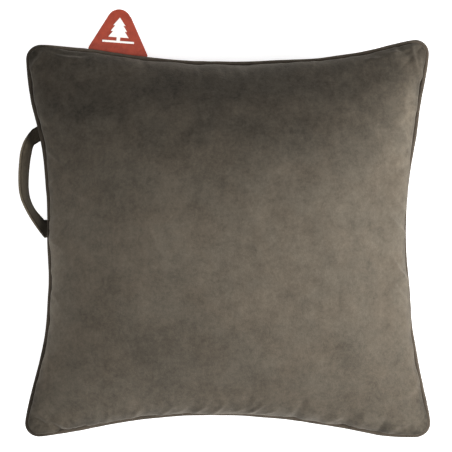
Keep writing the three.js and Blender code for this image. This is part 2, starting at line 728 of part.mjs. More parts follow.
addPiece('tag_sewn_edge', flatPlate(tagEdgeOutline(), TAG_THICKNESS, 0), leatherCloth, tagFrame);
addPiece('tag', flatPlate(tagOutline(), TAG_THICKNESS, 0), leatherCloth, tagFrame);
const printMiddle = (TAG_THICKNESS + PRINT_THICKNESS) / 2 + GAP;
const tree = flatPlate(treeOutline(), PRINT_THICKNESS, printMiddle);
const print = addPiece('tag_print', tree, whitePrint, tagFrame);
print.position.set(0.48 * tagBase, 6.5, 0);
print.rotation.z = THREE.MathUtils.degToRad((TAG_RIGHT_SLOPE - TAG_LEFT_SLOPE) / 2);

// ---------------------------------------------------------------- cover and insert

// The lower edge of the back panel stands back to let the zip lie in the seam, and it is notched where
// the strap ends and the tag pass between it and the piping
function backPanel() {
  const panel = shell(layers.cover, -1, stations, VELVET, SEAM_ALLOWANCE);
  const mouthTop = -PIPING_LEG_HALF - GAP / 3;
  const zipMouth = [
    [ZIP_MOUTH.from, mouthTop],
    [ZIP_MOUTH.to, mouthTop],
    [ZIP_MOUTH.to, -ZIP_MOUTH.depth],
    [ZIP_MOUTH.from, -ZIP_MOUTH.depth],
  ];
  const mouthHalf = ZIP_HALF + ZIP_MOUTH.pastStops;
  const notchHeight = STRAP_DROP + STRAP_THICKNESS / 2 + NOTCH_SLACK - PIPING_LEG_HALF;
  const lift = (STRAP_DROP - STRAP_THICKNESS / 2 - PIPING_LEG_HALF - NOTCH_SLACK) / 2;
  const notches = [strapHinge.from, strapHinge.to].map((point) => (
    strapEnd(point.clone().setZ(point.z + lift), NOTCH_SLACK, notchHeight)
  ));
  const notchLength = TAG_REACH + PIPING_LEG + NOTCH_SLACK;
  const tagNotch = new THREE.BoxGeometry(tagBase + 2 * NOTCH_SLACK, notchLength, notchHeight)
    .translate(tagBase / 2, -notchLength / 2, 0)
    .applyMatrix4(new THREE.Matrix4().makeRotationZ(tagFrame.rotation.z))
    .translate(tagHinge.from.x, tagHinge.from.y, tagHinge.from.z + lift);
  const cutters = [alongZip(zipMouth, -mouthHalf, mouthHalf, ZIP_STEPS), ...notches, tagNotch];
  return toGeometry(cutters.reduce((solid, cutter) => solid.subtract(toSolid(cutter)), toSolid(panel)));
}

addPiece('front_panel', shell(layers.cover, 1, stations, VELVET, SEAM_ALLOWANCE), velvet);
addPiece('back_panel', backPanel(), velvet);
addPiece('inner_casing_front', shell(layers.casing, 1, coarseStations, CASING, 0), cotton);
addPiece('inner_casing_back', shell(layers.casing, -1, coarseStations, CASING, 0), cotton);
addPiece('inner_filling', fillingBody(layers.filling, coarseStations), fibre);

export default pillow;
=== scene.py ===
"""The look of the camp pillow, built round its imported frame. Metres, +Z up, in the part's own frame."""

import math

import bmesh
import bpy
import numpy as np
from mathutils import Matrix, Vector


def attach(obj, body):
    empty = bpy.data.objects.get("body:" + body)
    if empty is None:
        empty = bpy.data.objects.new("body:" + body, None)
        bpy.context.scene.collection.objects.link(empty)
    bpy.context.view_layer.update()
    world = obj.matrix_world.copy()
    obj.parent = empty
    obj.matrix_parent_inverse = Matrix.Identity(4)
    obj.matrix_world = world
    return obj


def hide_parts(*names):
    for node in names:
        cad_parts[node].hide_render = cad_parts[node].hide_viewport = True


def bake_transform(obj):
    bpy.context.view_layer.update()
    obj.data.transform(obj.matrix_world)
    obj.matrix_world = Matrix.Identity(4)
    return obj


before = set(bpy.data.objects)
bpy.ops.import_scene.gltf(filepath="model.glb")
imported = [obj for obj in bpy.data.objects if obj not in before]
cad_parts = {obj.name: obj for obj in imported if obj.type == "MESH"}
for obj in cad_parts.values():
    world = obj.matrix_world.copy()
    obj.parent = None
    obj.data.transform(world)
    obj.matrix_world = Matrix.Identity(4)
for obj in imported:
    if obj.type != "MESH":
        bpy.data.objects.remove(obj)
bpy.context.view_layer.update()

MM = 0.001
SEAM_HEIGHT = 62  # of the seam's plane over the floor, in millimetres


def show(name, data, material=None):
    """Puts a mesh, light or camera into the scene."""
    obj = bpy.data.objects.new(name, data)
    bpy.context.scene.collection.objects.link(obj)
    if material:
        data.materials.append(material)
    return obj


# ---- camera and lights

VIEW_CENTRE = (-1.1 * MM, 13.9 * MM)
CAMERA_RISE = 3.2
VIEW_WIDTH = 0.4818
SENSOR = 36.0


def make_camera():
    data = bpy.data.cameras.new("camera")
    data.sensor_width = SENSOR
    data.lens = SENSOR * CAMERA_RISE / VIEW_WIDTH
    data.clip_end = 50
    camera = show("camera", data)
    camera.location = (*VIEW_CENTRE, SEAM_HEIGHT * MM + CAMERA_RISE)
    bpy.context.scene.camera = camera


LIGHT_TARGET = Vector((0, 0, 0.05))
# Place, size (m) and power (W) of each square light
LIGHTS = {
    "key": ((1.25, -0.35, 0.85), 0.9, 34),
    "overhead": ((0.1, -0.5, 3.9), 1.6, 62),
    "fill": ((-1.7, -0.5, 1.0), 1.4, 9),
}


def area_light(name, place, size, power):
    data = bpy.data.lights.new(name, "AREA")
    data.shape = "SQUARE"
    data.size = size
    data.energy = power
    light = show(name, data)
    light.location = place
    light.rotation_euler = (LIGHT_TARGET - Vector(place)).to_track_quat("-Z", "Y").to_euler()
    light.visible_camera = False


make_camera()
bpy.context.scene.view_settings.view_transform = "Standard"
for light_name, light_values in LIGHTS.items():
    area_light(light_name, *light_values)

# ---- node helpers


class Nodes:
    """A new material, with short calls for making its node tree."""

    def __init__(self, name):
        self.material = bpy.data.materials.new(name)
        self.material.use_nodes = True
        self.tree = self.material.node_tree
        self.shader = self.tree.nodes["Principled BSDF"]

    def put(self, socket, value):
        if isinstance(value, bpy.types.NodeSocket):
            self.tree.links.new(value, socket)
        else:
            socket.default_value = value

    def node(self, kind, values=None, **settings):
        made = self.tree.nodes.new("ShaderNode" + kind)
        for name, value in settings.items():
            setattr(made, name, value)
        for name, value in (values or {}).items():
            self.put(made.inputs[name], value)
        return made

    def math(self, operation, a, b=0.0, c=0.0):
        made = self.node("Math", operation=operation)
        for i, value in enumerate((a, b, c)):
            self.put(made.inputs[i], value)
        return made.outputs[0]

    def vector(self, operation, a, b=(0, 0, 0), scale=1.0):
        made = self.node("VectorMath", operation=operation)
        self.put(made.inputs[0], a)
        self.put(made.inputs[1], b)
        made.inputs[3].default_value = scale
        return made.outputs["Value" if operation == "LENGTH" else "Vector"]

    def axis(self, place, name):
        return self.node("SeparateXYZ", {"Vector": place}).outputs[name]

    def seam_distance(self):
        return self.node("Attribute", attribute_name="seam_distance").outputs["Fac"]

    def threads(self, place, scale, direction):
        values = {"Vector": place, "Scale": scale, "Distortion": 0.6, "Detail": 1.0}
        return self.node("TexWave", values, bands_direction=direction).outputs["Fac"]

    def object_place(self, scale=(1, 1, 1), turn=0.0, attribute=None):
        if attribute:
            source = self.node("Attribute", attribute_name=attribute).outputs["Vector"]
        else:
            source = self.node("TexCoord").outputs["Object"]
        mapped = self.node("Mapping", {"Vector": source})
        mapped.inputs["Scale"].default_value = scale
        mapped.inputs["Rotation"].default_value = (0, 0, math.radians(turn))
        return mapped.outputs["Vector"]

    def noise(self, place, scale, detail=2.0, rough=0.5, distortion=0.0, output="Fac"):
        values = {"Scale": scale, "Detail": detail, "Roughness": rough, "Distortion": distortion}
        return self.node("TexNoise", {"Vector": place, **values}).outputs[output]

    def spread(self, value, low, high, to_low=0.0, to_high=1.0, smooth=True):
        """A value moved from one range to another, and held at its ends."""
        kind = "SMOOTHSTEP" if smooth else "LINEAR"
        values = {"Value": value, "From Min": low, "From Max": high, "To Min": to_low, "To Max": to_high}
        return self.node("MapRange", values, interpolation_type=kind).outputs["Result"]

    def mix(self, share, a, b, blend="MIX"):
        made = self.node("Mix", data_type="RGBA", blend_type=blend)
        for i, value in zip((0, 6, 7), (share, a, b)):  # the sockets for colours
            self.put(made.inputs[i], value)
        return made.outputs[2]

    def brightness(self, colour, factor):
        """Colour times a number that varies over the surface."""
        grey = self.node("CombineColor", dict.fromkeys(("Red", "Green", "Blue"), factor))
        return self.mix(1.0, colour, grey.outputs["Color"], "MULTIPLY")

    def vary(self, value, to_low=0.0, to_high=1.0):
        """Spreads a noise, most of which lies between 0.3 and 0.7."""
        return self.spread(value, 0.3, 0.7, to_low, to_high)

    def bump(self, height, depth, strength=1.0, before=None):
        made = self.node("Bump", {"Height": height, "Distance": depth, "Strength": strength})
        if before is not None:
            self.put(made.inputs["Normal"], before)
        return made.outputs["Normal"]

    def shade(self, **values):
        """Sets or links the shader's sockets, and gives the finished material."""
        for name, value in values.items():
            self.put(self.shader.inputs[name.replace("_", " ")], value)
        return self.material


def linear(red, green, blue):
    """A display colour of 0 to 255 as linear light."""
    parts = [c / 255 for c in (red, green, blue)]
    return (*[c / 12.92 if c <= 0.04045 else ((c + 0.055) / 1.055) ** 2.4 for c in parts], 1.0)


# ---- materials

VELVET_COLOUR = (0.0935, 0.0790, 0.0605, 1)
SHEEN_COLOUR = (0.60, 0.54, 0.46, 1)
WARMER, COOLER = (1.012, 0.996, 0.98), (0.99, 1.005, 1.01)
MOTTLE = 0.25
STITCH_LINE = 8.0  # from the middle of the strap to each row of stitches, in millimetres


def velvet(name, colour, lay_and_light_of, attribute=None, combed=False, sheen=0.35):
    """Short dense pile: mottled at every size, brushed in strokes, with a fine grain and a soft sheen.
    The function given second makes the factor for how light the pile looks, with the light and shade painted
    on it."""
    n = Nodes(name)
    place = n.object_place(attribute=attribute)
    patches = n.noise(n.object_place((0.62, 1.12, 1), -4) if combed else place, 13.0, 3.0, 0.55, 0.6)
    mottle = n.noise(place, 48.0, 5.0, 0.92, 0.1)
    marks = n.noise(place, 42.0, 3.0, 0.6, 0.2)
    strokes = n.noise(n.object_place((150, 48, 60), 28, attribute), 1.0, 3.0, 0.6, 0.35)
    crossing = n.noise(n.object_place((40, 120, 60), 14, attribute), 1.0, 3.0, 0.6, 0.35)
    flecks = n.noise(place, 300.0, 1.0, 0.5)
    grain = n.noise(place, 900.0, 2.0, 0.6)
    uneven = n.spread(mottle, 0.3, 0.7, -MOTTLE, MOTTLE, smooth=False)
    for layer, amount in ((patches, 0.07), (strokes, 0.045), (crossing, 0.03), (flecks, 0.05)):
        uneven = n.math("ADD", uneven, n.vary(layer, -amount, amount))
    # The broad factor: how the pile lies, with painted light and shade.
    lay_and_light = lay_and_light_of(n)
    reach = n.math("MULTIPLY_ADD", lay_and_light, 0.6, 0.4)
    shade = n.math("ADD", lay_and_light, n.math("MULTIPLY", uneven, reach))
    shade = n.math("MULTIPLY", shade, n.spread(grain, 0.25, 0.75, 0.90, 1.10, smooth=False))
    tint = n.spread(n.noise(place, 26.0, 3.0, 0.6, 0.4), 0.32, 0.68)
    warm, cool = ([c * k for c, k in zip(colour, by)] + [1] for by in (WARMER, COOLER))
    pile = n.bump(grain, 0.35 * MM, 0.55)
    pile = n.bump(mottle, 1.6 * MM, 0.4, pile)
    pile = n.bump(marks, 1.2 * MM, 0.35, pile)
    return n.shade(
        Base_Color=n.brightness(n.mix(tint, warm, cool), shade),
        Roughness=n.spread(grain, 0.2, 0.8, 0.82, 1.0),
        Normal=pile,
        Specular_IOR_Level=0.12,
        Sheen_Weight=sheen,
        Sheen_Roughness=0.42,
        Sheen_Tint=SHEEN_COLOUR,
    )


# The cover: how the pile lies, with painted light and shade, times the painted shade beside the seam.
def cover_lay_and_painted_light(n):
    return n.math("MULTIPLY", nap_lay_and_painted_light(n), seam_painted_shade(n))


# The loop: rubbed edges, painted highlight and painted shade, times the painted shade beside the seam.
def strap_wear_light_and_shade(n):
    return n.math("MULTIPLY", strap_wear_and_painted_light(n), seam_painted_shade(n))


def piping_painted_shade(n):
    """Painted shade: darker along the left side, away from the key light."""
    return n.spread(n.axis(n.object_place(), "X"), -0.199, -0.184, 0.5, 1.0)


def seam_painted_shade(n):
    """Painted shade close beside the seam, where the pile is also crushed: darker there, and further up
    beside the bottom one.
    """
    wander = n.vary(n.noise(n.object_place(), 90.0, 3.0, 0.6), 0.6, 1.4)
    away = n.math("MULTIPLY", n.seam_distance(), wander)
    # Painted shade reaching further up beside the bottom seam.
    low = n.spread(n.axis(n.object_place(), "Y"), -0.175, -0.14, 1.0, 0.0)
    foot = n.math("MULTIPLY_ADD", n.math("SUBTRACT", n.spread(away, 1.0, 17.0, 0.68, 1.0), 1.0), low, 1.0)
    return n.math("MULTIPLY", n.spread(away, 0.5, 7.5, 0.66, 1.0), foot)


def strap_wear_and_painted_light(n):
    """Lighter along the loop's edges, with the pile rubbed there and a painted highlight; painted shade at
    its ends, where it goes in between the faces, and along its rows of stitches, where the pile is also
    pressed.
    """
    away = n.math("ABSOLUTE", n.axis(n.object_place(attribute="rest_place"), "X"))
    from_stitches = n.math("ABSOLUTE", n.math("SUBTRACT", away, STITCH_LINE * MM))
    # Painted shade along the rows of stitches.
    stitch_shade = n.spread(from_stitches, 0.0003, 0.0016, 0.55, 1.0)
    # Painted shade at the ends, where the loop goes in between the faces.
    ends = n.spread(n.seam_distance(), 0.0, 8.0, 0.5, 1.0)
    # Lighter along the edges: rubbed pile and a painted highlight.
    worn = n.math("MULTIPLY", stitch_shade, n.spread(away, 0.0082, 0.0096, 0.92, 1.4))
    return n.math("MULTIPLY", worn, ends)


# Areas painted lighter or darker, partly where the pile has been brushed one way and partly painted light and
# shade: place and reach in plan (mm), turn (degrees), how much
NAP_AND_PAINTED_LIGHT_AREAS = [
    (112, 122, 58, 46, -12, -0.17), (172, 110, 24, 36, 0, 0.16), (-60, 152, 130, 26, 4, -0.15),
    (-140, 116, 42, 30, 20, 0.13), (52, 134, 34, 22, 0, 0.06), (-70, 72, 60, 30, 15, 0.05),
    (-118, 36, 30, 24, -30, -0.14), (-120, -52, 26, 58, 4, -0.10), (166, -78, 20, 30, 0, -0.12),
    (-62, -112, 95, 46, 0, -0.13), (46, -152, 28, 22, 0, -0.10), (197, 148, 9, 52, 10, 0.34),
    (62, 40, 40, 26, -8, -0.06), (-150, 180, 60, 12, 8, 0.10), (-178, -60, 12, 80, 2, 0.06),
]


def nap_lay_and_painted_light(n):
    """How light the pile looks, in broad soft areas: where it has been brushed one way or the other, and with
    painted light and shade, darker towards the top and bottom and lighter towards the right.
    """
    straight = n.object_place()
    drift = n.vector("SUBTRACT", n.noise(straight, 17.0, 4.0, 0.62, output="Color"), (0.5, 0.5, 0.5))
    moved = n.vector("ADD", straight, n.vector("SCALE", drift, scale=0.11))
    x, y = n.axis(moved, "X"), n.axis(moved, "Y")
    # Painted shade: darker towards the top, less so towards the right.
    past = n.math("MAXIMUM", n.math("SUBTRACT", x, 0.05), 0.0)
    height = n.math("MULTIPLY_ADD", past, -0.55, y)
    lay_and_light = n.spread(height, 0.0, 0.165, 1.0, 0.42)
    # Painted shade: a little darker towards the bottom.
    lay_and_light = n.math("MULTIPLY", lay_and_light, n.spread(y, -0.13, -0.06, 0.86, 1.0))
    # Painted light: lighter towards the right, on the key light's side.
    lay_and_light = n.math("MULTIPLY", lay_and_light, n.spread(x, -0.05, 0.19, 0.96, 1.12))
    # The listed areas: brushed pile, and painted light and shade.
    for px, py, wide, long, turn, amount in NAP_AND_PAINTED_LIGHT_AREAS:
        local = n.node("Mapping", {"Vector": moved}, vector_type="TEXTURE")
        local.inputs["Location"].default_value = (px * MM, py * MM, 0)
        local.inputs["Rotation"].default_value = (0, 0, math.radians(turn))
        local.inputs["Scale"].default_value = (wide * MM, long * MM, 10)
        away = n.vector("LENGTH", local.outputs["Vector"])
        lay_and_light = n.math("MULTIPLY", lay_and_light, n.spread(away, 0.15, 1.5, 1 + amount, 1.0))
    return lay_and_light


def woven(name, colour, scale, depth, roughness=0.9):
    """A plain weave: two crossed sets of threads."""
    n = Nodes(name)
    place = n.object_place()
    threads = n.math("MAXIMUM", n.threads(place, scale, "X"), n.threads(place, scale, "Y"))
    slub = n.noise(place, scale * 0.15, 3.0, 0.6)
    shade = n.math("MULTIPLY", n.spread(threads, 0, 1, 0.75, 1, False), n.vary(slub, 0.92, 1.05))
    return n.shade(
        Base_Color=n.brightness(colour, shade),
        Roughness=n.vary(slub, roughness - 0.06, roughness + 0.04),
        Normal=n.bump(threads, depth, 0.8),
        Sheen_Weight=0.15,
        Sheen_Roughness=0.5,
    )


def fibre_fill():
    n = Nodes("fibre_fill")
    place = n.object_place()
    tufts = n.noise(place, 55.0, 5.0, 0.65, 1.5)
    hair = n.noise(n.object_place((400, 60, 200), 30), 1.0, 3.0, 0.6, 2.0)
    return n.shade(
        Base_Color=n.brightness((0.86, 0.85, 0.82, 1), n.vary(tufts, 0.88, 1.04)),
        Roughness=n.vary(hair, 0.9, 1.0),
        Normal=n.bump(hair, 0.8 * MM, 0.6, n.bump(tufts, 4 * MM, 0.7)),
        Sheen_Weight=0.25,
    )


def tag_leather():
    """Red leather cloth: fine pebbled grain, a little darker and shinier where it is handled."""
    n = Nodes("tag_leather")
    place = n.object_place(attribute="rest_place")
    grain = n.node("TexVoronoi", {"Vector": place, "Scale": 1100.0}).outputs["Distance"]
    cloud = n.noise(place, 120.0, 3.0, 0.55, 0.4)
    fine = n.noise(place, 700.0, 2.0, 0.6)
    colour = n.mix(n.vary(cloud), linear(153, 55, 31), linear(137, 46, 25))
    return n.shade(
        Base_Color=n.brightness(colour, n.spread(grain, 0.1, 0.7, 0.94, 1.05)),
        Roughness=n.vary(fine, 0.5, 0.66),
        Normal=n.bump(grain, 0.12 * MM, 0.5),
        Specular_IOR_Level=0.35,
    )


def white_print():
    n = Nodes("white_print")
    place = n.object_place()
    worn = n.noise(place, 420.0, 4.0, 0.65)
    return n.shade(
        Base_Color=n.mix(n.spread(worn, 0.62, 0.74), (0.86, 0.84, 0.80, 1), (0.74, 0.66, 0.60, 1)),
        Roughness=n.vary(worn, 0.45, 0.62),
        Normal=n.bump(worn, 0.05 * MM, 0.5),
    )


def zip_nylon():
    n = Nodes("zip_nylon")
    worn = n.noise(n.object_place(), 260.0, 3.0, 0.6)
    return n.shade(
        Base_Color=n.mix(n.vary(worn), (0.050, 0.042, 0.033, 1), (0.075, 0.063, 0.050, 1)),
        Roughness=n.vary(worn, 0.32, 0.5),
        Normal=n.bump(worn, 0.05 * MM, 0.4),
    )


def zip_metal():
    """Gunmetal plating, rubbed lighter in places, with fine scratches."""
    n = Nodes("zip_metal")
    place = n.object_place()
    rub = n.noise(place, 190.0, 4.0, 0.6, 0.4)
    scratch = n.noise(n.object_place((180, 2600, 900), 25), 1.0, 3.0, 0.6)
    return n.shade(
        Base_Color=n.mix(n.spread(rub, 0.42, 0.68), (0.155, 0.140, 0.120, 1), (0.32, 0.29, 0.25, 1)),
        Metallic=0.9,
        Roughness=n.math("ADD", n.vary(rub, 0.28, 0.42), n.spread(scratch, 0.4, 0.7, 0, 0.12)),
        Normal=n.bump(scratch, 0.03 * MM, 0.4),
    )


def floor_white():
    n = Nodes("floor_white")
    speck = n.noise(n.object_place(), 30.0, 3.0, 0.6)
    return n.shade(
        Base_Color=n.mix(speck, (0.74, 0.74, 0.74, 1), (0.78, 0.78, 0.78, 1)),
        Roughness=0.9,
        Specular_IOR_Level=0.0,
        Emission_Color=(1, 1, 1, 1),
        Emission_Strength=0.72,
    )


VELVET = velvet("velvet", VELVET_COLOUR, cover_lay_and_painted_light, combed=True)
VELVET_STRAP = velvet("velvet_strap", (0.096, 0.079, 0.056, 1), strap_wear_light_and_shade, "rest_place", sheen=0.3)
# The piping's velvet has a darker colour than the cover's: painted shade on its tight roll.
SHADED_PIPING_VELVET = velvet("velvet_piping", (0.074, 0.060, 0.046, 1), piping_painted_shade, sheen=0.15)
COTTON = woven("cotton", (0.80, 0.77, 0.70, 1), 220.0, 0.25 * MM)
FIBRE = fibre_fill()
LEATHER = tag_leather()
PRINT = white_print()
TAPE = woven("zip_tape_weave", (0.070, 0.060, 0.048, 1), 330.0, 0.2 * MM, 0.85)
NYLON = zip_nylon()
METAL = zip_metal()

# ---- the plan of the cover

# The seam's corners in plan (mm), and how deep each side is drawn in (mm) and how far that leans along it.
# The bottom is an arc in its middle, for the zip.
CORNERS = {"tl": (-212, 205), "tr": (212.5, 209), "bl": (-214, -207), "br": (214, -207)}
STRAIGHT = 0.93
HALF_SIDE = 214.0
BEND_RADIUS, BEND_HALF = 690.0, 150.0
SIDES = {"left": (24.5, -0.05), "right": (26.0, 0.0), "top": (20.5, 0.12), "bottom": (21.9, 0.0)}
EDGE_BULK = 9.0
FRONT_RISE, BACK_DROP = 86.0, 80.0


def lerp(a, b, share):
    return a + (b - a) * share


def smoothstep(x, low, high):
    t = np.clip((x - low) / (high - low), 0, 1)
    return t * t * (3 - 2 * t)


def unit(vectors):
    return vectors / np.linalg.norm(vectors, axis=-1, keepdims=True)


def round_corners(u, v):
    du, dv = np.abs(u) - STRAIGHT, np.abs(v) - STRAIGHT
    bent = (du > 0) & (dv > 0)
    shrink = np.maximum(du, dv) / np.maximum(np.hypot(du, dv), 1e-12)
    return (
        np.where(bent, np.sign(u) * (STRAIGHT + du * shrink), u),
        np.where(bent, np.sign(v) * (STRAIGHT + dv * shrink), v),
    )


def drawn_in(w, depth, lean):
    x = np.abs(w - lean * (1 - w * w)) * HALF_SIDE
    full = SIDES["bottom"][0]
    near = BEND_RADIUS - np.sqrt(np.maximum(BEND_RADIUS**2 - x * x, 0))
    span = HALF_SIDE - BEND_HALF
    slope = BEND_HALF / math.sqrt(BEND_RADIUS**2 - BEND_HALF**2)
    start = BEND_RADIUS - math.sqrt(BEND_RADIUS**2 - BEND_HALF**2)
    t = (x - BEND_HALF) / span
    far = start + (full - start) * (3 * t**2 - 2 * t**3) + slope * span * (t**3 - 2 * t**2 + t)
    return depth * (1 - np.where(x <= BEND_HALF, near, far) / full)


# How much further in each seam lies than in the frame, at even steps along it (mm): cloth never lies
# quite fair.
TRIM = {
    "left": (0, 4.2, 4.6, 2.4, -0.5, 1.4, 3.3, 1.6, 0),
    "right": (-1.5, 3.0, 1.0, -2.2, -1.0, -1.2, -2.0, 2.0, -1.0),
    "bottom": (-2.0, 1.2, 1.2, 0.8, -0.8, -1.8, -3.2, -2.9, -2.0),
    "top": (0, 2.6, 2.4, 1.5, 0, -0.8, 1.2, 2.3, -2.0),
}


def side_line(side, w, trimmed):
    """How far a side lies in from its straight line, at places w from -1 to 1 along it."""
    depth = drawn_in(w, *SIDES[side])
    if trimmed:
        values = np.array(TRIM[side])
        at = np.clip((w + 1) / 2, 0, 1) * (len(values) - 1)
        first = np.minimum(np.floor(at).astype(int), len(values) - 2)
        depth = depth + lerp(values[first], values[first + 1], smoothstep(at - first, 0, 1))
    return depth


def plan(u, v, trimmed=True):
    """Millimetres in plan for places u and v from -1 to 1 across the cover."""
    u, v = round_corners(u, v)
    across, up = (1 + u) / 2, (1 + v) / 2
    left = lerp(CORNERS["bl"][0], CORNERS["tl"][0], up) + side_line("left", v, trimmed)
    right = lerp(CORNERS["br"][0], CORNERS["tr"][0], up) - side_line("right", v, trimmed)
    bottom = lerp(CORNERS["bl"][1], CORNERS["br"][1], across) + side_line("bottom", u, trimmed)
    top = lerp(CORNERS["tl"][1], CORNERS["tr"][1], across) - side_line("top", u, trimmed)
    return lerp(left, right, across), lerp(bottom, top, up)


def square_edge(t):
    """Places u and v for t from 0 to 4 round the seam: right, top, left, bottom."""
    side = np.floor(t).astype(int) % 4
    w = 2 * (t - np.floor(t)) - 1
    one = np.ones_like(w)
    u = np.choose(side, [one, -w, -one, w])
    v = np.choose(side, [w, one, -w, -one])
    return u, v


def outward_at(t, trimmed=True):
    """The direction in plan that points out from the seam."""
    step = 0.004
    ax, ay = plan(*square_edge((t + step) % 4), trimmed)
    bx, by = plan(*square_edge((t - step) % 4), trimmed)
    along = unit(np.stack([ax - bx, ay - by], -1))
    return np.stack([along[..., 1], -along[..., 0]], -1)


def beside_seam(t, inward, above, trimmed=True):
    """Points beside the middle of the piping, in metres."""
    x, y = plan(*square_edge(t), trimmed)
    out_x, out_y = np.moveaxis(outward_at(t, trimmed), -1, 0)
    return np.stack([x - out_x * inward, y - out_y * inward, SEAM_HEIGHT + above + 0 * x], -1) * MM


def all_round(w):
    """The same places along each side, as places t round the seam."""
    return np.concatenate([side + (1 + w) / 2 for side in range(4)])


def seam_places(per_side=150):
    """Places along the seam, closer together round the corners."""
    w = np.linspace(-1, 1, per_side + 1)[:-1]
    return all_round(0.45 * w + 0.55 * np.sin(w * np.pi / 2))


# ---- smooth random numbers


def value_noise(x, y, size, seed):
    """Smooth noise from -1 to 1 with features about size across."""
    grid = np.random.RandomState(seed).uniform(-1, 1, (256, 256))
    gx, gy = x / size + 100.0, y / size + 100.0
    ix, iy = np.floor(gx).astype(int), np.floor(gy).astype(int)
    fx, fy = gx - ix, gy - iy
    fx, fy = fx**3 * (fx * (6 * fx - 15) + 10), fy**3 * (fy * (6 * fy - 15) + 10)
    a, b = grid[ix % 256, iy % 256], grid[(ix + 1) % 256, iy % 256]
    c, d = grid[ix % 256, (iy + 1) % 256], grid[(ix + 1) % 256, (iy + 1) % 256]
    return lerp(lerp(a, b, fx), lerp(c, d, fx), fy)


# ---- meshes


def make_object(name, points, faces, material):
    mesh = bpy.data.meshes.new(name)
    mesh.from_pydata(np.asarray(points, float).tolist(), [], faces)
    mesh.validate()
    work = bmesh.new()
    work.from_mesh(mesh)
    bmesh.ops.recalc_face_normals(work, faces=work.faces)
    work.to_mesh(mesh)
    work.free()
    mesh.shade_smooth()
    return show(name, mesh, material)


def stand_for(obj, body, slot, *nodes):
    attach(obj, body)
    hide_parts(*nodes)


def store(obj, name, values):
    """Keeps a number or a vector for each point, for a material to read."""
    values = np.asarray(values, np.float32)
    kind, field = ("FLOAT", "value") if values.ndim == 1 else ("FLOAT_VECTOR", "vector")
    obj.data.attributes.new(name, kind, "POINT").data.foreach_set(field, values.ravel())


def grid_rows(count):
    """Places from -1 to 1, closer together near the edges."""
    s = np.linspace(-1, 1, count + 1)
    return 0.55 * s + 0.45 * np.sin(s * np.pi / 2)


def grid_places(count):
    rows = grid_rows(count)
    return (a.ravel() for a in np.meshgrid(rows, rows, indexing="ij"))


def grid_ring(count, offset=0):
    """The point numbers round the edge of a (count+1) square grid, anticlockwise in plan."""
    at = lambda i, j: offset + i * (count + 1) + j
    steps = range(count)
    ring = [at(count, j) for j in steps] + [at(count - i, count) for i in steps]
    return ring + [at(0, count - j) for j in steps] + [at(i, 0) for i in steps]


def grid_faces(count, offset=0, flip=False):
    faces = []
    for i in range(count):
        for j in range(count):
            a = offset + i * (count + 1) + j
            face = (a, a + count + 1, a + count + 2, a + 1)
            faces.append(face[::-1] if flip else face)
    return faces


def band_faces(rows, count, closed=False):
    """Quads between rows of points that each go once round."""
    faces = []
    for row in range(rows if closed else rows - 1):
        after = (row + 1) % rows
        for i in range(count):
            j = (i + 1) % count
            faces.append((row * count + i, row * count + j, after * count + j, after * count + i))
    return faces


def capped_faces(rows, count):
    """As band_faces, with both ends filled."""
    last = (rows - 1) * count
    return [tuple(range(count - 1, -1, -1)), tuple(range(last, last + count))] + band_faces(rows, count)


def surface_normals(points, count):
    grid = points.reshape(count + 1, count + 1, 3)
    normal = np.cross(np.gradient(grid, axis=0), np.gradient(grid, axis=1))
    normal /= np.maximum(np.linalg.norm(normal, axis=-1, keepdims=True), 1e-12)
    return normal.reshape(-1, 3)


# ---- the crowned faces

COVER = {"inset": 3.2, "rim": 1.2, "front": FRONT_RISE, "back": BACK_DROP, "floor": 0.0}
CASING = {"inset": 15.0, "rim": 0.5, "front": FRONT_RISE - 2.6, "back": BACK_DROP - 2.6, "floor": 2.0}
FILLING = {"inset": 19.0, "rim": 0.0, "front": FRONT_RISE - 4.2, "back": BACK_DROP - 4.2, "floor": 3.4}


FLOOR_EASE = 12.0  # how softly the back comes to lie on the floor


def crown(w):
    return np.clip(1 - np.abs(w) ** 2.2, 0, 1) ** 0.65


def bulk(w):
    return np.sqrt(np.clip(1 - np.abs(w) ** 12, 0, 1))


def eased_minimum(a, b, ease):
    share = np.clip(0.5 + 0.5 * (b - a) / ease, 0, 1)
    return lerp(b, a, share) - ease * share * (1 - share)


def face_height(u, v, layer, side):
    reach = (layer["front"] if side > 0 else layer["back"]) - layer["rim"] - EDGE_BULK
    height = layer["rim"] + EDGE_BULK * bulk(u) * bulk(v) + reach * crown(u) * crown(v)
    return height if side > 0 else eased_minimum(height, SEAM_HEIGHT - layer["floor"], FLOOR_EASE)


def face_points(u, v, layer, side):
    size = 1 - layer["inset"] / HALF_SIDE
    x, y = plan(u * size, v * size)
    return np.stack([x, y, SEAM_HEIGHT + side * face_height(u, v, layer, side)], -1) * MM


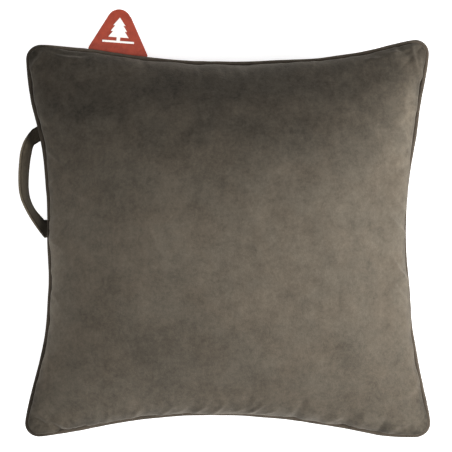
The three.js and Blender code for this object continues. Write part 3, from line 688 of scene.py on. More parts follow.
# Folds in the front face: place in plan, which way it runs (degrees from +X), length, width, height (mm).
# A height below nothing is a dimple or a crease.
FRONT_FOLDS = [
    (-66, -184, 34, 14, 1.7, 0.9), (-50, -182, 24, 12, 1.5, 0.5), (-31, -182, 30, 15, 1.8, 1.0),
    (-38, -178, 52, 16, 2.8, -0.6), (-9, -180, 42, 17, 1.8, 1.2), (-17, -176, 60, 18, 3.2, -0.8),
    (11, -182, 20, 12, 1.5, 0.6), (31, -180, 33, 16, 1.8, 1.4), (22, -175, 70, 20, 3.6, -0.8),
    (46, -183, 18, 14, 1.7, 0.7), (77, -180, 68, 22, 4.2, -2.2), (66, -184, 40, 14, 2.2, 0.6),
    (90, -186, 30, 16, 4.0, 0.5), (127, -192, 64, 22, 6.0, -2.2), (112, -191, 24, 18, 3.2, 0.8),
    (143, -193, 74, 20, 3.4, 0.9), (164, -199, 58, 16, 4.0, -1.6), (177, -201, 36, 14, 2.6, 0.8),
    (190, -201, 24, 16, 2.4, -0.9), (-98, -187, 50, 16, 2.0, 0.9), (-88, -183, 60, 16, 2.6, -0.7),
    (-128, -192, 66, 18, 2.6, 0.9), (-150, -196, 78, 16, 2.2, -0.8),
    (-199, -194, 150, 18, 2.0, -2.6), (-196, -188, 142, 20, 2.2, 1.6), (-181, -200, 146, 20, 2.2, -2.2),
    (-174, -197, 150, 16, 2.0, 1.4), (-162, -196, 100, 14, 2.6, 0.8),
    (-170, 196, -8, 34, 2.2, -1.2), (-168, 192, -10, 30, 2.4, 0.7), (-201, 190, 53, 22, 2.2, 1.5),
    (-205, 195, 53, 16, 2.4, -1.2),
    (-196, 180, 70, 26, 3.0, 0.6), (-189, 191, 35, 16, 3.0, -0.6), (-140, 190, -80, 16, 3.0, 0.7),
    (187, 200, -20, 12, 3.0, -2.2), (199, 190, -78, 26, 2.4, 2.2), (183, 199, 14, 22, 1.8, 1.2),
    (157, 191, 8, 18, 1.8, 1.2), (206, 178, -80, 26, 2.0, 1.0), (170, 186, -40, 26, 4.0, -1.0),
    (181, 37, -46, 24, 2.6, 1.9), (178, 30, -50, 24, 3.0, -0.9), (182, 11, -44, 26, 2.6, 2.3),
    (178, 2, -48, 24, 3.0, -1.1), (180, -14, -52, 20, 2.4, 0.8), (181, -33, -55, 28, 2.8, 2.1),
    (177, -43, -52, 24, 3.4, -1.0), (183, -58, -50, 20, 2.4, 1.0), (183, 66, -50, 20, 3.0, 0.8),
    (-180, 62, 40, 18, 3.0, 1.3), (-179, 22, 35, 20, 2.8, 1.4), (-176, 14, 30, 18, 3.0, -1.1),
    (-180, -30, 40, 20, 3.0, 1.4), (-178, -66, 128, 20, 2.8, 1.3), (-184, 128, 50, 18, 3.0, 1.2),
    (-183, 88, -42, 20, 2.4, 1.8), (-178, 80, -38, 18, 3.0, -1.2), (-150, 45, -28, 26, 4.0, 1.1),
    (-158, 58, -40, 22, 4.0, -0.8), (-179, -5, -32, 20, 2.6, 1.7),
]


def fold_relief(x, y, folds):
    """Millimetres of height from soft ridges and creases at places in plan."""
    relief = np.zeros_like(x)
    for fx, fy, turn, length, width, height in folds:
        c, s = math.cos(math.radians(turn)), math.sin(math.radians(turn))
        along = (x - fx) * c + (y - fy) * s
        across = -(x - fx) * s + (y - fy) * c
        bend = across - 0.005 * along**2
        relief += height * np.exp(-((bend / width) ** 2) - (along / (0.6 * length)) ** 4)
    return relief


def random_folds(seed, gaps, heights, widths):
    """Small puckers square to the seam, all round it."""
    rng = np.random.RandomState(seed)
    folds, t = [], 0.02
    while t < 4:
        x, y = plan(*square_edge(np.array([t])))
        out = outward_at(np.array([t]))[0]
        from_corner = abs(t - round(t))
        deep = rng.uniform(8, 15)
        turn = math.degrees(math.atan2(out[1], out[0])) + rng.uniform(-48, 48)
        height = rng.uniform(*heights) * rng.choice([1, 1, -1])
        place = (x[0] - out[0] * deep, y[0] - out[1] * deep)
        height *= min(1.0, max(0.0, from_corner / 0.06 - 0.6))
        folds.append((*place, turn, rng.uniform(10, 22), rng.uniform(*widths), height))
        t += rng.uniform(*gaps) / (2 * HALF_SIDE)
    return folds


CLOTH_GRID, CLOTH_FRAMES = 144, 20
CLOTH_FLAT = 462.0
BROAD_STEPS, CREASE_LIMIT = 40, 2.5
CLOTH_SETTINGS = {
    "quality": 5, "mass": 0.03, "air_damping": 1.0, "use_pressure": True, "uniform_pressure_force": 4.0,
    "tension_stiffness": 25, "compression_stiffness": 12, "shear_stiffness": 4, "bending_stiffness": 0.01,
    "tension_damping": 5, "compression_damping": 5, "shear_damping": 3, "bending_damping": 0.3,
}


def blown_up_cloth():
    """Creases (mm off the plain form) of a flat square of cloth that is sewn in all round and blown up."""
    side_count = CLOTH_GRID + 1
    w = np.linspace(-1, 1, side_count)
    u, v = (a.ravel() for a in np.meshgrid(w, w, indexing="ij"))
    start = face_points(u, v, COVER, 1)
    start[:, 2] = lerp(SEAM_HEIGHT * MM, start[:, 2], 0.97)
    ring = 1 - np.maximum(np.abs(u), np.abs(v))
    uneven = 0.5 * value_noise(start[:, 0] / MM, start[:, 1] / MM, 9, 7)
    start[:, 2] += uneven * np.clip(ring * 20, 0, 1) * np.exp(-((ring / 0.12) ** 2)) * MM
    obj = make_object("cloth_trial", start, grid_faces(CLOTH_GRID), VELVET)
    obj.shape_key_add(name="Basis")
    flat = obj.shape_key_add(name="flat")
    lying = np.stack([u, v, 0 * u], -1) * CLOTH_FLAT / 2 * MM
    flat.data.foreach_set("co", lying.astype(np.float32).ravel())
    flat.value = 0
    obj.vertex_groups.new(name="sewn").add([int(i) for i in grid_ring(CLOTH_GRID)], 1.0, "REPLACE")
    cloth = obj.modifiers.new("cloth", "CLOTH")
    for name, value in CLOTH_SETTINGS.items():
        setattr(cloth.settings, name, value)
    cloth.settings.vertex_group_mass = "sewn"
    cloth.settings.rest_shape_key = flat
    cloth.settings.effector_weights.gravity = 0.0
    cloth.collision_settings.use_collision = False
    cloth.point_cache.frame_end = CLOTH_FRAMES
    for moment in range(1, CLOTH_FRAMES + 1):
        bpy.context.scene.frame_set(moment)
    moved = obj.evaluated_get(bpy.context.evaluated_depsgraph_get()).data
    places = np.empty(3 * len(start), np.float32)
    moved.vertices.foreach_get("co", places)
    bpy.data.objects.remove(obj)
    bpy.context.scene.frame_set(1)
    off = ((places.reshape(-1, 3) - start) * surface_normals(start, CLOTH_GRID)).sum(1)
    off = broad = off.reshape(side_count, side_count)
    for _ in range(BROAD_STEPS):
        wide = np.pad(broad, 1, "edge")
        broad = (wide[:-2, 1:-1] + wide[2:, 1:-1] + wide[1:-1, :-2] + wide[1:-1, 2:] + broad) / 5
    return np.clip((off - broad) / MM, -CREASE_LIMIT, CREASE_LIMIT)


CREASES = blown_up_cloth()


def creases_at(u, v):
    at_u, at_v = ((np.clip(w, -1, 1) + 1) / 2 * CLOTH_GRID for w in (u, v))
    i, j = (np.minimum(np.floor(at).astype(int), CLOTH_GRID - 1) for at in (at_u, at_v))
    low = lerp(CREASES[i, j], CREASES[i + 1, j], at_u - i)
    high = lerp(CREASES[i, j + 1], CREASES[i + 1, j + 1], at_u - i)
    return lerp(low, high, at_v - j)


def cover_relief(x, y, u, v, side):
    """How far the cover stands off its plain crowned form, in millimetres."""
    seed = 3 if side > 0 else 23
    lumps = 1.5 * value_noise(x, y, 85, seed) + 0.7 * value_noise(x, y, 38, seed + 1)
    heights, widths = ((0.25, 0.75), (2.2, 4.8)) if side > 0 else ((0.2, 0.55), (3.4, 6.5))
    folds = random_folds(seed + 2, (7, 19), heights, widths)
    puckers = fold_relief(x, y, folds + (FRONT_FOLDS if side > 0 else []))
    edge = bulk(u) * bulk(v)
    creases = (0.75 if side > 0 else 0.6) * creases_at(u, side * v)
    return lumps * crown(u) * crown(v) + puckers * smoothstep(edge, 0.03, 0.35) + creases


FINE = 256
CLOTH_THICK, ALLOWANCE, FLOOR_GAP = 1.0, 7.0, 0.15
MOUTH_HALF, MOUTH_DEPTH, POCKET_DEPTH = 149.0, 11.2, 4.8


def mouth_shift(u, v):
    """Moves the back face's lower edge up its own surface to leave the zip's mouth open."""
    x, _ = plan(u, -np.ones_like(u))
    open_share = 1 - smoothstep(np.abs(x), MOUTH_HALF - 6, MOUTH_HALF + 1)
    low, high = np.full_like(u, -1.0), np.full_like(u, -0.9)
    for _ in range(30):
        middle = (low + high) / 2
        above = face_height(u, middle, COVER, -1) > lerp(COVER["rim"], MOUTH_DEPTH, open_share)
        low, high = np.where(above, low, middle), np.where(above, middle, high)
    shift = np.where(open_share > 0, low + 1, 0)
    return v + shift * np.clip((0.6 - v) / 1.6, 0, 1) ** 3


# Where the front face swells out over the piping, past the usual: place and half length (t), how far (mm)
OVERHANGS = [(0.52, 0.24, 2.4), (0.22, 0.10, 1.2), (3.42, 0.09, 1.2), (3.62, 0.07, 1.4), (3.22, 0.06, 0.8),
             (1.50, 0.30, -0.4), (2.60, 0.22, 0.6), (3.98, 0.10, 0.9), (1.02, 0.10, 0.4), (2.00, 0.08, 0.7),
             (3.02, 0.08, 0.9)]
SWELL = 3.7


def overhang(u, v):
    """An outward push in plan, in millimetres, just above the seam."""
    ring = np.maximum(np.abs(u), np.abs(v))
    across, up = u / np.maximum(ring, 1e-9), v / np.maximum(ring, 1e-9)
    t = np.where(
        np.abs(u) >= np.abs(v),
        np.where(u > 0, (1 + up) / 2, 2 + (1 - up) / 2),
        np.where(v > 0, 1 + (1 - across) / 2, 3 + (1 + across) / 2),
    )
    far_round = t * 2 * HALF_SIDE
    push = SWELL + 0.9 * value_noise(far_round, 0 * t, 26, 81) + 0.5 * value_noise(far_round, 0 * t, 9, 82)
    for place, half, far in OVERHANGS:
        away = np.abs((t - place + 2) % 4 - 2)
        push += far * (1 - smoothstep(away, 0.3 * half, 1.6 * half))
    push *= smoothstep(1 - ring, 0.0, 0.012) * (1 - smoothstep(1 - ring, 0.03, 0.16))
    out = outward_at(np.clip(t, 0, 3.9999))
    return out * push[..., None]


def pull_pocket(x, y, depth):
    """Where the dent is, past the far end of the zip, that the pull lies in when the slider is there."""
    below_seam = smoothstep(depth, 1.4, 3.6) * (1 - smoothstep(depth, 7.5, 14))
    return smoothstep(x, 130, 146) * (1 - smoothstep(x, 160, 174)) * below_seam * (y < 0)


def cover_face(count, side):
    u, v = grid_places(count)
    if side < 0:
        v = mouth_shift(u, v)
    points = face_points(u, v, COVER, side)
    if side > 0:
        points[:, :2] += overhang(u, v) * MM
    normal = surface_normals(points, count) * side
    relief = cover_relief(points[:, 0] / MM, points[:, 1] / MM, u, v, side)
    if side < 0:
        pocket = pull_pocket(points[:, 0] / MM, points[:, 1] / MM, SEAM_HEIGHT - points[:, 2] / MM)
        relief = lerp(relief, -POCKET_DEPTH, pocket)
    moved = points + normal * relief[:, None] * MM
    moved[:, 2] = np.maximum(moved[:, 2], FLOOR_GAP * MM)
    return moved


def cover_panel(name, side):
    """One face of the cover as closed cloth, with its seam allowance turned in."""
    outer = cover_face(FINE, side)
    normal = surface_normals(outer, FINE) * side
    half = FINE // 2
    pick = np.arange(0, FINE + 1, 2)
    chosen = (pick[:, None] * (FINE + 1) + pick[None, :]).ravel()
    inner = outer[chosen] - normal[chosen] * CLOTH_THICK * MM
    outer_ring = grid_ring(FINE)
    turn_in = outer[outer_ring]
    allowance = turn_in.copy()
    allowance[:, :2] -= outward_at(all_round(grid_rows(FINE)[:-1])) * ALLOWANCE * MM
    upper = allowance + np.array([0, 0, side * 0.9 * MM])
    if side < 0:
        # At the zip's mouth the edge is hemmed instead: it lies close inside the cloth.
        depth = -(turn_in[:, 2:] - SEAM_HEIGHT * MM)
        mouth = smoothstep(depth, 3 * MM, 8 * MM) * (turn_in[:, 1:2] < -0.15)
        row, column = np.divmod(np.array(outer_ring), FINE + 1)
        deep = np.clip(row, 10, FINE - 10) * (FINE + 1) + np.clip(column, 10, FINE - 10)
        allowance = lerp(allowance, turn_in - normal[outer_ring] * 1.8 * MM, mouth)
        upper = lerp(upper, outer[deep] - normal[deep] * 2.4 * MM, mouth)
    base = len(outer)
    points = np.vstack([outer, inner, allowance, upper])
    inner_ring = grid_ring(half, base)
    ring_a = [base + len(inner) + i for i in range(len(allowance))]
    ring_b = [i + len(allowance) for i in ring_a]
    faces = grid_faces(FINE) + grid_faces(half, base, flip=True)
    total = len(outer_ring)
    for i in range(total):
        j = (i + 1) % total
        faces.append((outer_ring[i], outer_ring[j], ring_a[j], ring_a[i]))
        faces.append((ring_a[i], ring_a[j], ring_b[j], ring_b[i]))
    for i in range(0, total, 2):
        a, b, c = ring_b[i], ring_b[i + 1], ring_b[(i + 2) % total]
        p, q = inner_ring[i // 2], inner_ring[(i // 2 + 1) % (total // 2)]
        faces += [(a, b, p), (b, q, p), (b, c, q)]
    obj = make_object(name, points, faces, VELVET)
    rows = np.abs(grid_rows(FINE))
    ring = 1 - np.maximum(rows[:, None], rows[None, :]).ravel()
    away = np.concatenate([ring, ring[chosen], np.zeros(2 * len(allowance))]) * HALF_SIDE
    store(obj, "seam_distance", away)
    return obj


for panel, node, side, casing in (
    ("front_velvet", "front_panel", 1, "inner_casing_front_cloth"),
    ("back_velvet", "back_panel", -1, "inner_casing_back_cloth"),
):
    cover = cover_panel(panel, side)
    stand_for(cover, "cushion", "velvet", node)

# ---- casing and filling


def casing_panel(name, node, side):
    count = 72
    u, v = grid_places(count)
    outer = face_points(u, v, CASING, side)
    lumps = 0.6 * value_noise(outer[:, 0] / MM, outer[:, 1] / MM, 30, 41) * crown(u) * crown(v)
    outer[:, 2] += side * lumps * MM * (1 if side > 0 else smoothstep(outer[:, 2], 3 * MM, 20 * MM))
    normal = surface_normals(outer, count)
    inner = outer - normal * side * 0.8 * MM
    ring = grid_ring(count)
    step = len(outer)
    faces = grid_faces(count) + grid_faces(count, step, flip=True)
    for i in range(len(ring)):
        j = (i + 1) % len(ring)
        faces.append((ring[i], ring[j], ring[j] + step, ring[i] + step))
    obj = make_object(name, np.vstack([outer, inner]), faces, COTTON)
    stand_for(obj, "cushion", "cotton", node)


def filling_body():
    count = 64
    u, v = grid_places(count)
    upper, lower = face_points(u, v, FILLING, 1), face_points(u, v, FILLING, -1)
    lumps = value_noise(upper[:, 0] / MM, upper[:, 1] / MM, 22, 51) * crown(u) * crown(v)
    upper[:, 2] += 0.5 * lumps * MM
    lower[:, 2] += 0.3 * np.abs(lumps) * MM
    ring = set(grid_ring(count))
    number = {}
    points = list(upper)
    for i in range(len(lower)):
        if i in ring:
            number[i] = i
        else:
            number[i] = len(points)
            points.append(lower[i])
    faces = grid_faces(count) + [tuple(number[i] for i in f[::-1]) for f in grid_faces(count)]
    obj = make_object("inner_fibre_filling", points, faces, FIBRE)
    stand_for(obj, "cushion", "fibre", "inner_filling")


filling_body()
casing_panel("inner_casing_front_cloth", "inner_casing_front", 1)
casing_panel("inner_casing_back_cloth", "inner_casing_back", -1)

# ---- piping


def piping():
    """A folded strip round its cord, with both edges running in between the two faces."""
    t = seam_places()
    radius, cloth, leg, leg_half = 2.5, 0.5, 9.0, 0.8
    slit = leg_half - cloth
    outer = np.linspace(math.asin(leg_half / radius), 2 * math.pi - math.asin(leg_half / radius), 19)
    inside = radius - cloth
    inner = np.linspace(2 * math.pi - math.asin(slit / inside), math.asin(slit / inside), 13)
    outline = [(leg, leg_half), (5.0, leg_half)]
    outline += [(radius * math.cos(a), radius * math.sin(a)) for a in outer]
    outline += [(5.0, -leg_half), (leg, -leg_half), (leg, -slit), (5.0, -slit)]
    outline += [(inside * math.cos(a), inside * math.sin(a)) for a in inner] + [(5.0, slit), (leg, slit)]
    x, y = plan(*square_edge(t))
    swell = 1 + 0.045 * value_noise(x, y, 9, 61) + 0.03 * value_noise(x, y, 30, 62)
    side = 0.35 * value_noise(x, y, 55, 63)
    rows = []
    for inward, above in outline:
        round_part = smoothstep(np.full_like(t, -inward), -4.0, -2.2)
        grow = lerp(1.0, swell, round_part)
        rows.append(beside_seam(t, inward * grow - side * round_part, above * grow))
    points = np.stack(rows, 1)
    faces = band_faces(*points.shape[:2], closed=True)
    obj = make_object("piping_strip", points.reshape(-1, 3), faces, SHADED_PIPING_VELVET)
    stand_for(obj, "cushion", "piping_velvet", "piping_sleeve")


def piping_filler():
    """The cotton cord inside the piping, laid of three strands."""
    t = seam_places()
    turn = np.linspace(0, 2 * np.pi, 12, endpoint=False)
    twist = 2 * np.pi * np.arange(len(t)) / 4.0
    rows = []
    for a in turn:
        radius = 1.72 + 0.14 * np.cos(3 * a + twist)
        rows.append(beside_seam(t, radius * math.cos(a), radius * math.sin(a)))
    points = np.stack(rows, 1)
    faces = band_faces(*points.shape[:2], closed=True)
    obj = make_object("piping_filler_cord", points.reshape(-1, 3), faces, COTTON)
    stand_for(obj, "cushion", "cotton", "piping_cord")


piping()
piping_filler()

# ---- carrying loop


def hinge_between(first, last, reach, drop):
    """The ends of a hinge line beside the seam, its direction, and the way out from the cushion."""
    start = beside_seam(np.array([first]), -reach, -drop, trimmed=False)[0]
    end = beside_seam(np.array([last]), -reach, -drop, trimmed=False)[0]
    along = (end - start) / np.linalg.norm(end - start)
    out = np.cross([0, 0, 1.0], along)
    return start, end, along, out if out @ start > 0 else -out


def spline(points, steps=150):
    """A smooth line through points, as steps + 1 places evenly far apart."""
    points = np.asarray(points, float)
    padded = np.vstack([2 * points[0] - points[1], points, 2 * points[-1] - points[-2]])
    dense = []
    for i in range(len(points) - 1):
        p0, p1, p2, p3 = padded[i : i + 4]
        square, cube = 2 * p0 - 5 * p1 + 4 * p2 - p3, 3 * p1 - p0 - 3 * p2 + p3
        for s in np.linspace(0, 1, 24, endpoint=False):
            dense.append((2 * p1 + (p2 - p0) * s + square * s**2 + cube * s**3) / 2)
    line = np.array(dense + [points[-1]])
    far = lengths_along(line)
    want = np.linspace(0, far[-1], steps + 1)
    return np.stack([np.interp(want, far, line[:, k]) for k in range(3)], -1)


def lengths_along(line):
    return np.concatenate([[0], np.cumsum(np.linalg.norm(np.diff(line, axis=0), axis=1))])


STRAP_WIDTH, STRAP_THICK, STRAP_REACH, STRAP_DROP = 21.0, 2.2, 6.4, 3.9
STITCH_PITCH, STRAP_SEWN_IN = 3.1, 8.6
LEAD_STEPS, STRAP_ACROSS = 16, 41
# The loop's outer and inner edges as they lie in plan, from the upper end to the lower one
OUTER_EDGE = [
    (-208.3, 116.8), (-212.4, 110.8), (-216.6, 103.2), (-219.8, 93), (-221.2, 79), (-221.7, 66), (-221.3, 54),
    (-219.4, 44), (-216.2, 36.0), (-211.8, 27.4), (-206.6, 18.6), (-200.6, 9.6), (-194.6, 1.2),
]
INNER_EDGE = [
    (-205.9, 100.4), (-208.2, 96.5), (-209.8, 90), (-211.2, 82), (-212.2, 73), (-212.8, 63), (-212.8, 54),
    (-211.4, 44.6), (-208.6, 36.8), (-205.2, 31.0), (-201.0, 26.0), (-197.4, 22.6), (-195.4, 20.6),
]
UPPER_SLANT = math.radians(25)


def left_place(y):
    """The place t round the seam of a point on the left side."""
    return 2 + (205 - y) / 412


def strap():
    """One folded strip of velvet from inside the seam, out round the loop and back in."""
    upper, _, along, out = hinge_between(left_place(112), left_place(9.6), STRAP_REACH, STRAP_DROP)
    edges = (OUTER_EDGE, INNER_EDGE)
    outer, inner = (spline([np.array([x, y, 0.0]) * MM for x, y in edge]) for edge in edges)
    apart = outer - inner
    pinched = lerp(0.8, 1.0, smoothstep(np.linspace(0, 1, len(outer)), 0.0, 0.14))
    rise = np.sqrt(np.maximum((STRAP_WIDTH * MM * pinched) ** 2 - (apart**2).sum(1), 0))
    rise[0] = 0
    middle = (outer + inner) / 2 + np.array([0, 0, (SEAM_HEIGHT - STRAP_DROP) * MM])
    edge_on = apart + np.array([0, 0, 1.0]) * rise[:, None]
    inside = (STRAP_REACH + STRAP_SEWN_IN) * MM
    lead = np.linspace(-inside, 0, LEAD_STEPS + 1)[:-1, None]
    slanted = out * math.cos(UPPER_SLANT) + along * math.sin(UPPER_SLANT)
    line = np.vstack([middle[0] + lead * slanted, middle, (middle[-1] + lead * out)[::-1]])
    sewn_end = -along * STRAP_WIDTH * MM
    pinched = np.concatenate([np.full(LEAD_STEPS, pinched[0]), pinched, np.ones(LEAD_STEPS)])
    ease = smoothstep(np.linspace(0, 1, LEAD_STEPS + 1)[1:, None], 0, 0.8)
    wide = np.vstack([np.tile(edge_on[0], (LEAD_STEPS, 1)), edge_on, lerp(edge_on[-1], sewn_end, ease)])
    wide[:, 2] = np.convolve(np.pad(wide[:, 2], 4, "edge"), np.ones(9) / 9, "valid")
    wide = unit(wide)
    length = lengths_along(line)
    tangent = np.gradient(line, axis=0)
    for _ in range(6):
        tangent[1:-1] = (tangent[:-2] + 2 * tangent[1:-1] + tangent[2:]) / 4
    thick = unit(np.cross(unit(tangent), wide))
    half, thin = STRAP_WIDTH / 2, STRAP_THICK / 2
    there = np.linspace(-1, 1, STRAP_ACROSS)
    profile = np.concatenate([there, np.linspace(1, -1, STRAP_ACROSS)[1:-1]])
    faces_up = np.where(np.arange(len(profile)) < STRAP_ACROSS, 1.0, -1.0)
    aside = np.abs(profile) * half
    edge_round = np.sqrt(np.clip(1 - (np.clip(aside - (half - thin), 0, thin) / thin) ** 2, 0, 1))
    groove = 0.55 * np.exp(-(((aside - STITCH_LINE) / 0.8) ** 2))
    belly = 0.18 * np.cos(np.pi * np.clip(profile * half / STITCH_LINE, -1, 1) / 2)
    height = faces_up * edge_round * (thin - groove + belly)
    points, places = [], []
    ripple = 0.25 * value_noise(length / MM, length * 0, 14, 71)
    for i in range(len(line)):
        stitch = 0.18 * math.sin(2 * math.pi * length[i] / (STITCH_PITCH * MM))
        scale = 1 - stitch * np.exp(-(((aside - STITCH_LINE) / 1.1) ** 2))
        across = profile * half * pinched[i] * (1 - 0.02 * ripple[i])
        lift = (height * scale + ripple[i])[:, None] * MM
        points.append(line[i] + wide[i] * across[:, None] * MM + thick[i] * lift)
        places.append(np.stack([across * MM, np.full(len(profile), length[i]), height * MM], -1))
    faces = capped_faces(len(line), len(profile))
    obj = make_object("carrying_loop", np.vstack(points), faces, VELVET_STRAP)
    store(obj, "rest_place", np.vstack(places))
    from_end = np.minimum(length - inside, length[-1] - inside - length) / MM
    store(obj, "seam_distance", np.repeat(np.maximum(from_end - 3.0, 0) * 0.75, len(profile)))
    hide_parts("carry_handle", "handle_sewn_end_upper", "handle_sewn_end_lower")
    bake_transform(obj)


strap()

# ---- tag

TAG_REACH, TAG_DROP, TAG_SEWN_IN = 4.6, 3.6, 8.8
TAG_HEIGHT, TAG_TIP, TAG_THICK, TAG_EDGE = 44.4, 13.0, 1.6, 0.65
LEFT_SLOPE, RIGHT_SLOPE = math.radians(24.1), math.radians(31.8)
TREE_HALF = [
    (17, 0), (17, 2.1), (1.9, 2.1), (1.9, 5.8), (11, 5.8),
    (6.2, 12.2), (8.8, 12.2), (4.4, 18.4), (6.6, 18.4), (0, 27),
]


def top_place(x):
    """The place t round the seam of a point on the top side."""
    return 1 + (212.5 - x) / 424.5


tag_from, tag_to, tag_along, tag_out = hinge_between(top_place(-148), top_place(-85), TAG_REACH, TAG_DROP)
tag_base = np.linalg.norm(tag_to - tag_from) / MM


def tag_place(x, y, z):
    """From millimetres in the tag's own frame to the part's. The tip curls down a little."""
    curl = -1.4 * np.clip(y / TAG_HEIGHT, 0, 1) ** 2
    curl = curl + 0.5 * np.sin(np.pi * np.clip(x / tag_base, 0, 1)) * np.clip(y / 30, 0, 1)
    local = np.stack([x, y, z + curl], -1) * MM
    up = np.array([0, 0, 1.0])
    return tag_from + local[:, :1] * tag_along + local[:, 1:2] * tag_out + local[:, 2:] * up


def tag():
    """A rounded triangle of leather cloth with soft edges, from inside the seam to its tip."""
    seam_edge = 2.5 - TAG_REACH
    left = lambda y: math.tan(LEFT_SLOPE) * (y - seam_edge)
    right = lambda y: tag_base - math.tan(RIGHT_SLOPE) * (y - seam_edge)
    centre_y = seam_edge + TAG_HEIGHT - TAG_TIP
    centre_x = left(centre_y) + TAG_TIP / math.cos(LEFT_SLOPE)
    low_y = centre_y + TAG_TIP * math.sin(LEFT_SLOPE)
    low_right_y = centre_y + TAG_TIP * math.sin(RIGHT_SLOPE)

    def bounds(y):
        reach = math.sqrt(max(TAG_TIP**2 - (y - centre_y) ** 2, 0))
        first = max(left(max(y, seam_edge)), 0) if y < low_y else centre_x - reach
        last = min(right(max(y, seam_edge)), tag_base) if y < low_right_y else centre_x + reach
        return first, last

    rows = list(np.linspace(-TAG_REACH - TAG_SEWN_IN, 4, 26)[:-1]) + list(np.linspace(4, centre_y, 28)[:-1])
    rows += [centre_y + TAG_TIP * math.sin(a) for a in np.linspace(0, math.pi / 2, 26)]
    columns = np.linspace(-1, 1, 45)
    columns = 0.4 * columns + 0.6 * np.sin(columns * np.pi / 2)
    x, y = [], []
    for at in rows:
        first, last = bounds(at)
        x.append(lerp(first, last, (1 + columns) / 2))
        y.append(np.full_like(columns, at))
    x, y = np.array(x), np.array(y)
    sides = [np.stack([x[:, k], y[:, k]], -1) for k in (0, -1)]
    at = np.linspace(0, 1, len(x))
    want = np.linspace(0, 1, 400)
    dense = [np.stack([np.interp(want, at, side[:, k]) for k in (0, 1)], -1) for side in sides]
    edge = np.vstack([np.stack([x[0], y[0]], -1), *sides, *dense])
    flat = np.stack([x.ravel(), y.ravel()], -1)
    away = np.sqrt(((flat[:, None, :] - edge[None, :, :]) ** 2).sum(-1).min(1))
    boundary = np.zeros_like(x, bool)
    boundary[0] = boundary[-1] = True
    boundary[:, 0] = boundary[:, -1] = True
    away[boundary.ravel()] = 0
    rise = np.sqrt(np.clip(1 - (1 - np.clip(away / TAG_EDGE, 0, 1)) ** 2, 0, 1))
    crease = 0.16 * np.exp(-(((away - 1.9) / 0.35) ** 2)) * (flat[:, 1] > 0)
    height = (TAG_THICK / 2) * rise
    top = tag_place(flat[:, 0], flat[:, 1], height - crease)
    under = tag_place(flat[:, 0], flat[:, 1], -height)
    step = x.shape[1]
    free = ~boundary.ravel()
    lower = np.arange(len(top))
    lower[free] = len(top) + np.arange(free.sum())
    faces = []
    for r in range(x.shape[0] - 1):
        for c in range(step - 1):
            a = r * step + c
            quad = (a, a + 1, a + step + 1, a + step)
            faces.append(quad)
            faces.append(tuple(int(lower[i]) for i in quad[::-1]))
    obj = make_object("seam_tag", np.vstack([top, under[free]]), faces, LEATHER)
    work = bmesh.new()
    work.from_mesh(obj.data)
    bmesh.ops.remove_doubles(work, verts=work.verts, dist=1e-6)
    work.to_mesh(obj.data)
    work.free()
    store(obj, "rest_place", [v.co for v in obj.data.vertices])
    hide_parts("tag", "tag_sewn_edge")
    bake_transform(obj)


def tag_print():
    """A plain pine tree on a line of ground, raised a little from the tag."""
    outline = TREE_HALF + [(-x, y) for x, y in TREE_HALF[:-1][::-1]]
    work = bmesh.new()
    ring = [work.verts.new((x, y, 0)) for x, y in outline]
    face = work.faces.new(ring)
    moved = bmesh.ops.extrude_face_region(work, geom=[face])
    for vert in (g for g in moved["geom"] if isinstance(g, bmesh.types.BMVert)):
        vert.co.z = 0.36
    bmesh.ops.recalc_face_normals(work, faces=work.faces)
    upper = [e for e in work.edges if all(v.co.z > 0.2 for v in e.verts)]
    bmesh.ops.bevel(work, geom=upper, offset=0.14, segments=2, affect="EDGES", profile=0.5)
    bmesh.ops.triangulate(work, faces=work.faces)
    turn = (RIGHT_SLOPE - LEFT_SLOPE) / 2
    c, s = math.cos(turn), math.sin(turn)
    co = np.array([v.co for v in work.verts])
    x = 0.48 * tag_base + co[:, 0] * c - co[:, 1] * s
    y = 6.5 + co[:, 0] * s + co[:, 1] * c
    placed = tag_place(x, y, co[:, 2] + TAG_THICK / 2 + 0.03)
    for vert, at in zip(work.verts, placed):
        vert.co = at
    mesh = bpy.data.meshes.new("tag_pine_print")
    work.to_mesh(mesh)
    work.free()
    stand_for(show("tag_pine_print", mesh, PRINT), "tag_flap", "white_print", "tag_print")


tag()
tag_print()

# ---- zip

# Half the chain's length, the slope of the tapes, and where their upper edge lies beside the seam
ZIP_HALF, ZIP_SLOPE, ZIP_IN, ZIP_DROP = 143.0, math.radians(66), 5.2, 1.5
BEND_CENTRE_Y = -207 + 21.9 - BEND_RADIUS


def zip_place(along, down, out):
    """From millimetres along the chain, down the tape and out from its face to the part's frame."""
    inward = ZIP_IN + down * math.cos(ZIP_SLOPE) - out * math.sin(ZIP_SLOPE)
    above = -ZIP_DROP - down * math.sin(ZIP_SLOPE) - out * math.cos(ZIP_SLOPE)
    radius, angle = BEND_RADIUS + inward, along / BEND_RADIUS
    x, y = radius * np.sin(angle), BEND_CENTRE_Y + radius * np.cos(angle)
    return np.stack([x, y, SEAM_HEIGHT + above], -1) * MM


CHAIN_DOWN, CHAIN_GAP, COIL_HALF = 4.5, 0.15, 0.975
TAPE_THICK, COIL_RISE = 0.3, 0.9


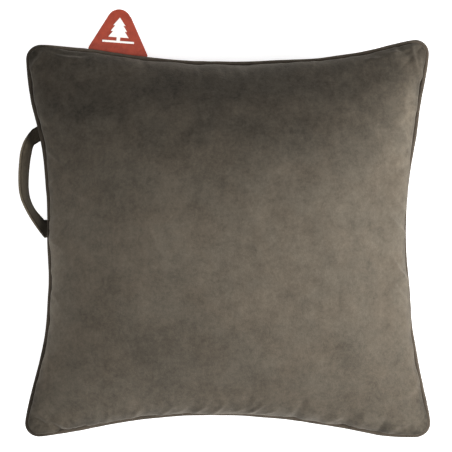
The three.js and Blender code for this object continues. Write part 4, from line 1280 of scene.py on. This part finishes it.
def coil(name, node, middle, phase):
    """A nylon spiral sewn along one edge of the tape."""
    pitch, steps, sides = 1.5, 10, 6
    first, last = -ZIP_HALF + 2.8, ZIP_HALF - 2.8
    turns = int((last - first) / pitch)
    angle = np.linspace(0, 2 * np.pi * turns, turns * steps + 1) + phase
    along = np.linspace(first, last, len(angle))
    down, out = middle + 0.68 * np.cos(angle), TAPE_THICK + COIL_RISE + 0.62 * np.sin(angle)
    line = zip_place(along, down, out)
    tangent = unit(np.gradient(line, axis=0))
    a = unit(np.cross(tangent, (1, 0.05, 0.02)))
    b = np.cross(tangent, a)
    turn = np.linspace(0, 2 * np.pi, sides, endpoint=False)[None, :, None]
    ring = np.cos(turn) * a[:, None] + np.sin(turn) * b[:, None]
    points = (line[:, None] + ring * (0.27 * MM)).reshape(-1, 3)
    obj = make_object(name, points, capped_faces(len(line), sides), NYLON)
    stand_for(obj, "cushion", "zip_nylon", node)


coil("zip_spiral_upper", "zip_coil_upper", CHAIN_DOWN - CHAIN_GAP - COIL_HALF, 0.0)
coil("zip_spiral_lower", "zip_coil_lower", CHAIN_DOWN + CHAIN_GAP + COIL_HALF, math.pi / 2)


def bevelled(name, node, body, material, width, slot):
    """The same shape as a part of the frame, with its edges broken."""
    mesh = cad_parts[node].data.copy()
    mesh.name = name
    work = bmesh.new()
    work.from_mesh(mesh)
    bmesh.ops.remove_doubles(work, verts=work.verts, dist=1e-6)
    bmesh.ops.dissolve_limit(work, angle_limit=math.radians(4), verts=work.verts, edges=work.edges)
    sharp = [e for e in work.edges if len(e.link_faces) == 2 and e.calc_face_angle(0) > math.radians(28)]
    bmesh.ops.bevel(
        work, geom=sharp, offset=width * MM, segments=2, affect="EDGES", profile=0.5, clamp_overlap=True
    )
    bmesh.ops.triangulate(work, faces=work.faces)
    work.to_mesh(mesh)
    work.free()
    mesh.materials.clear()
    mesh.shade_smooth()
    mesh.set_sharp_from_angle(angle=math.radians(35))
    stand_for(show(name, mesh, material), body, slot, node)


bevelled("zip_slider_cast", "zip_slider", "slider", METAL, 0.14, "zip_metal")
bevelled("zip_pull_tab", "zip_pull", "pull", METAL, 0.12, "zip_metal")
bevelled("zip_top_stop_block", "zip_top_stop", "cushion", NYLON, 0.2, "zip_nylon")
bevelled("zip_bottom_stop_block", "zip_bottom_stop", "cushion", NYLON, 0.2, "zip_nylon")

for node in ("zip_tape_upper", "zip_tape_lower"):
    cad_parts[node].material_slots[0].material = TAPE

# ---- floor and world

floor_mesh = bpy.data.meshes.new("floor")
floor_mesh.from_pydata([(-9, -9, 0), (9, -9, 0), (9, 9, 0), (-9, 9, 0)], [], [(0, 1, 2, 3)])
floor = show("floor", floor_mesh, floor_white())
floor.location.z = -0.0003

world = bpy.data.worlds.new("world")
world.use_nodes = True
background = world.node_tree.nodes["Background"]
background.inputs["Color"].default_value = (1, 1, 1, 1)
background.inputs["Strength"].default_value = 0.3
bpy.context.scene.world = world
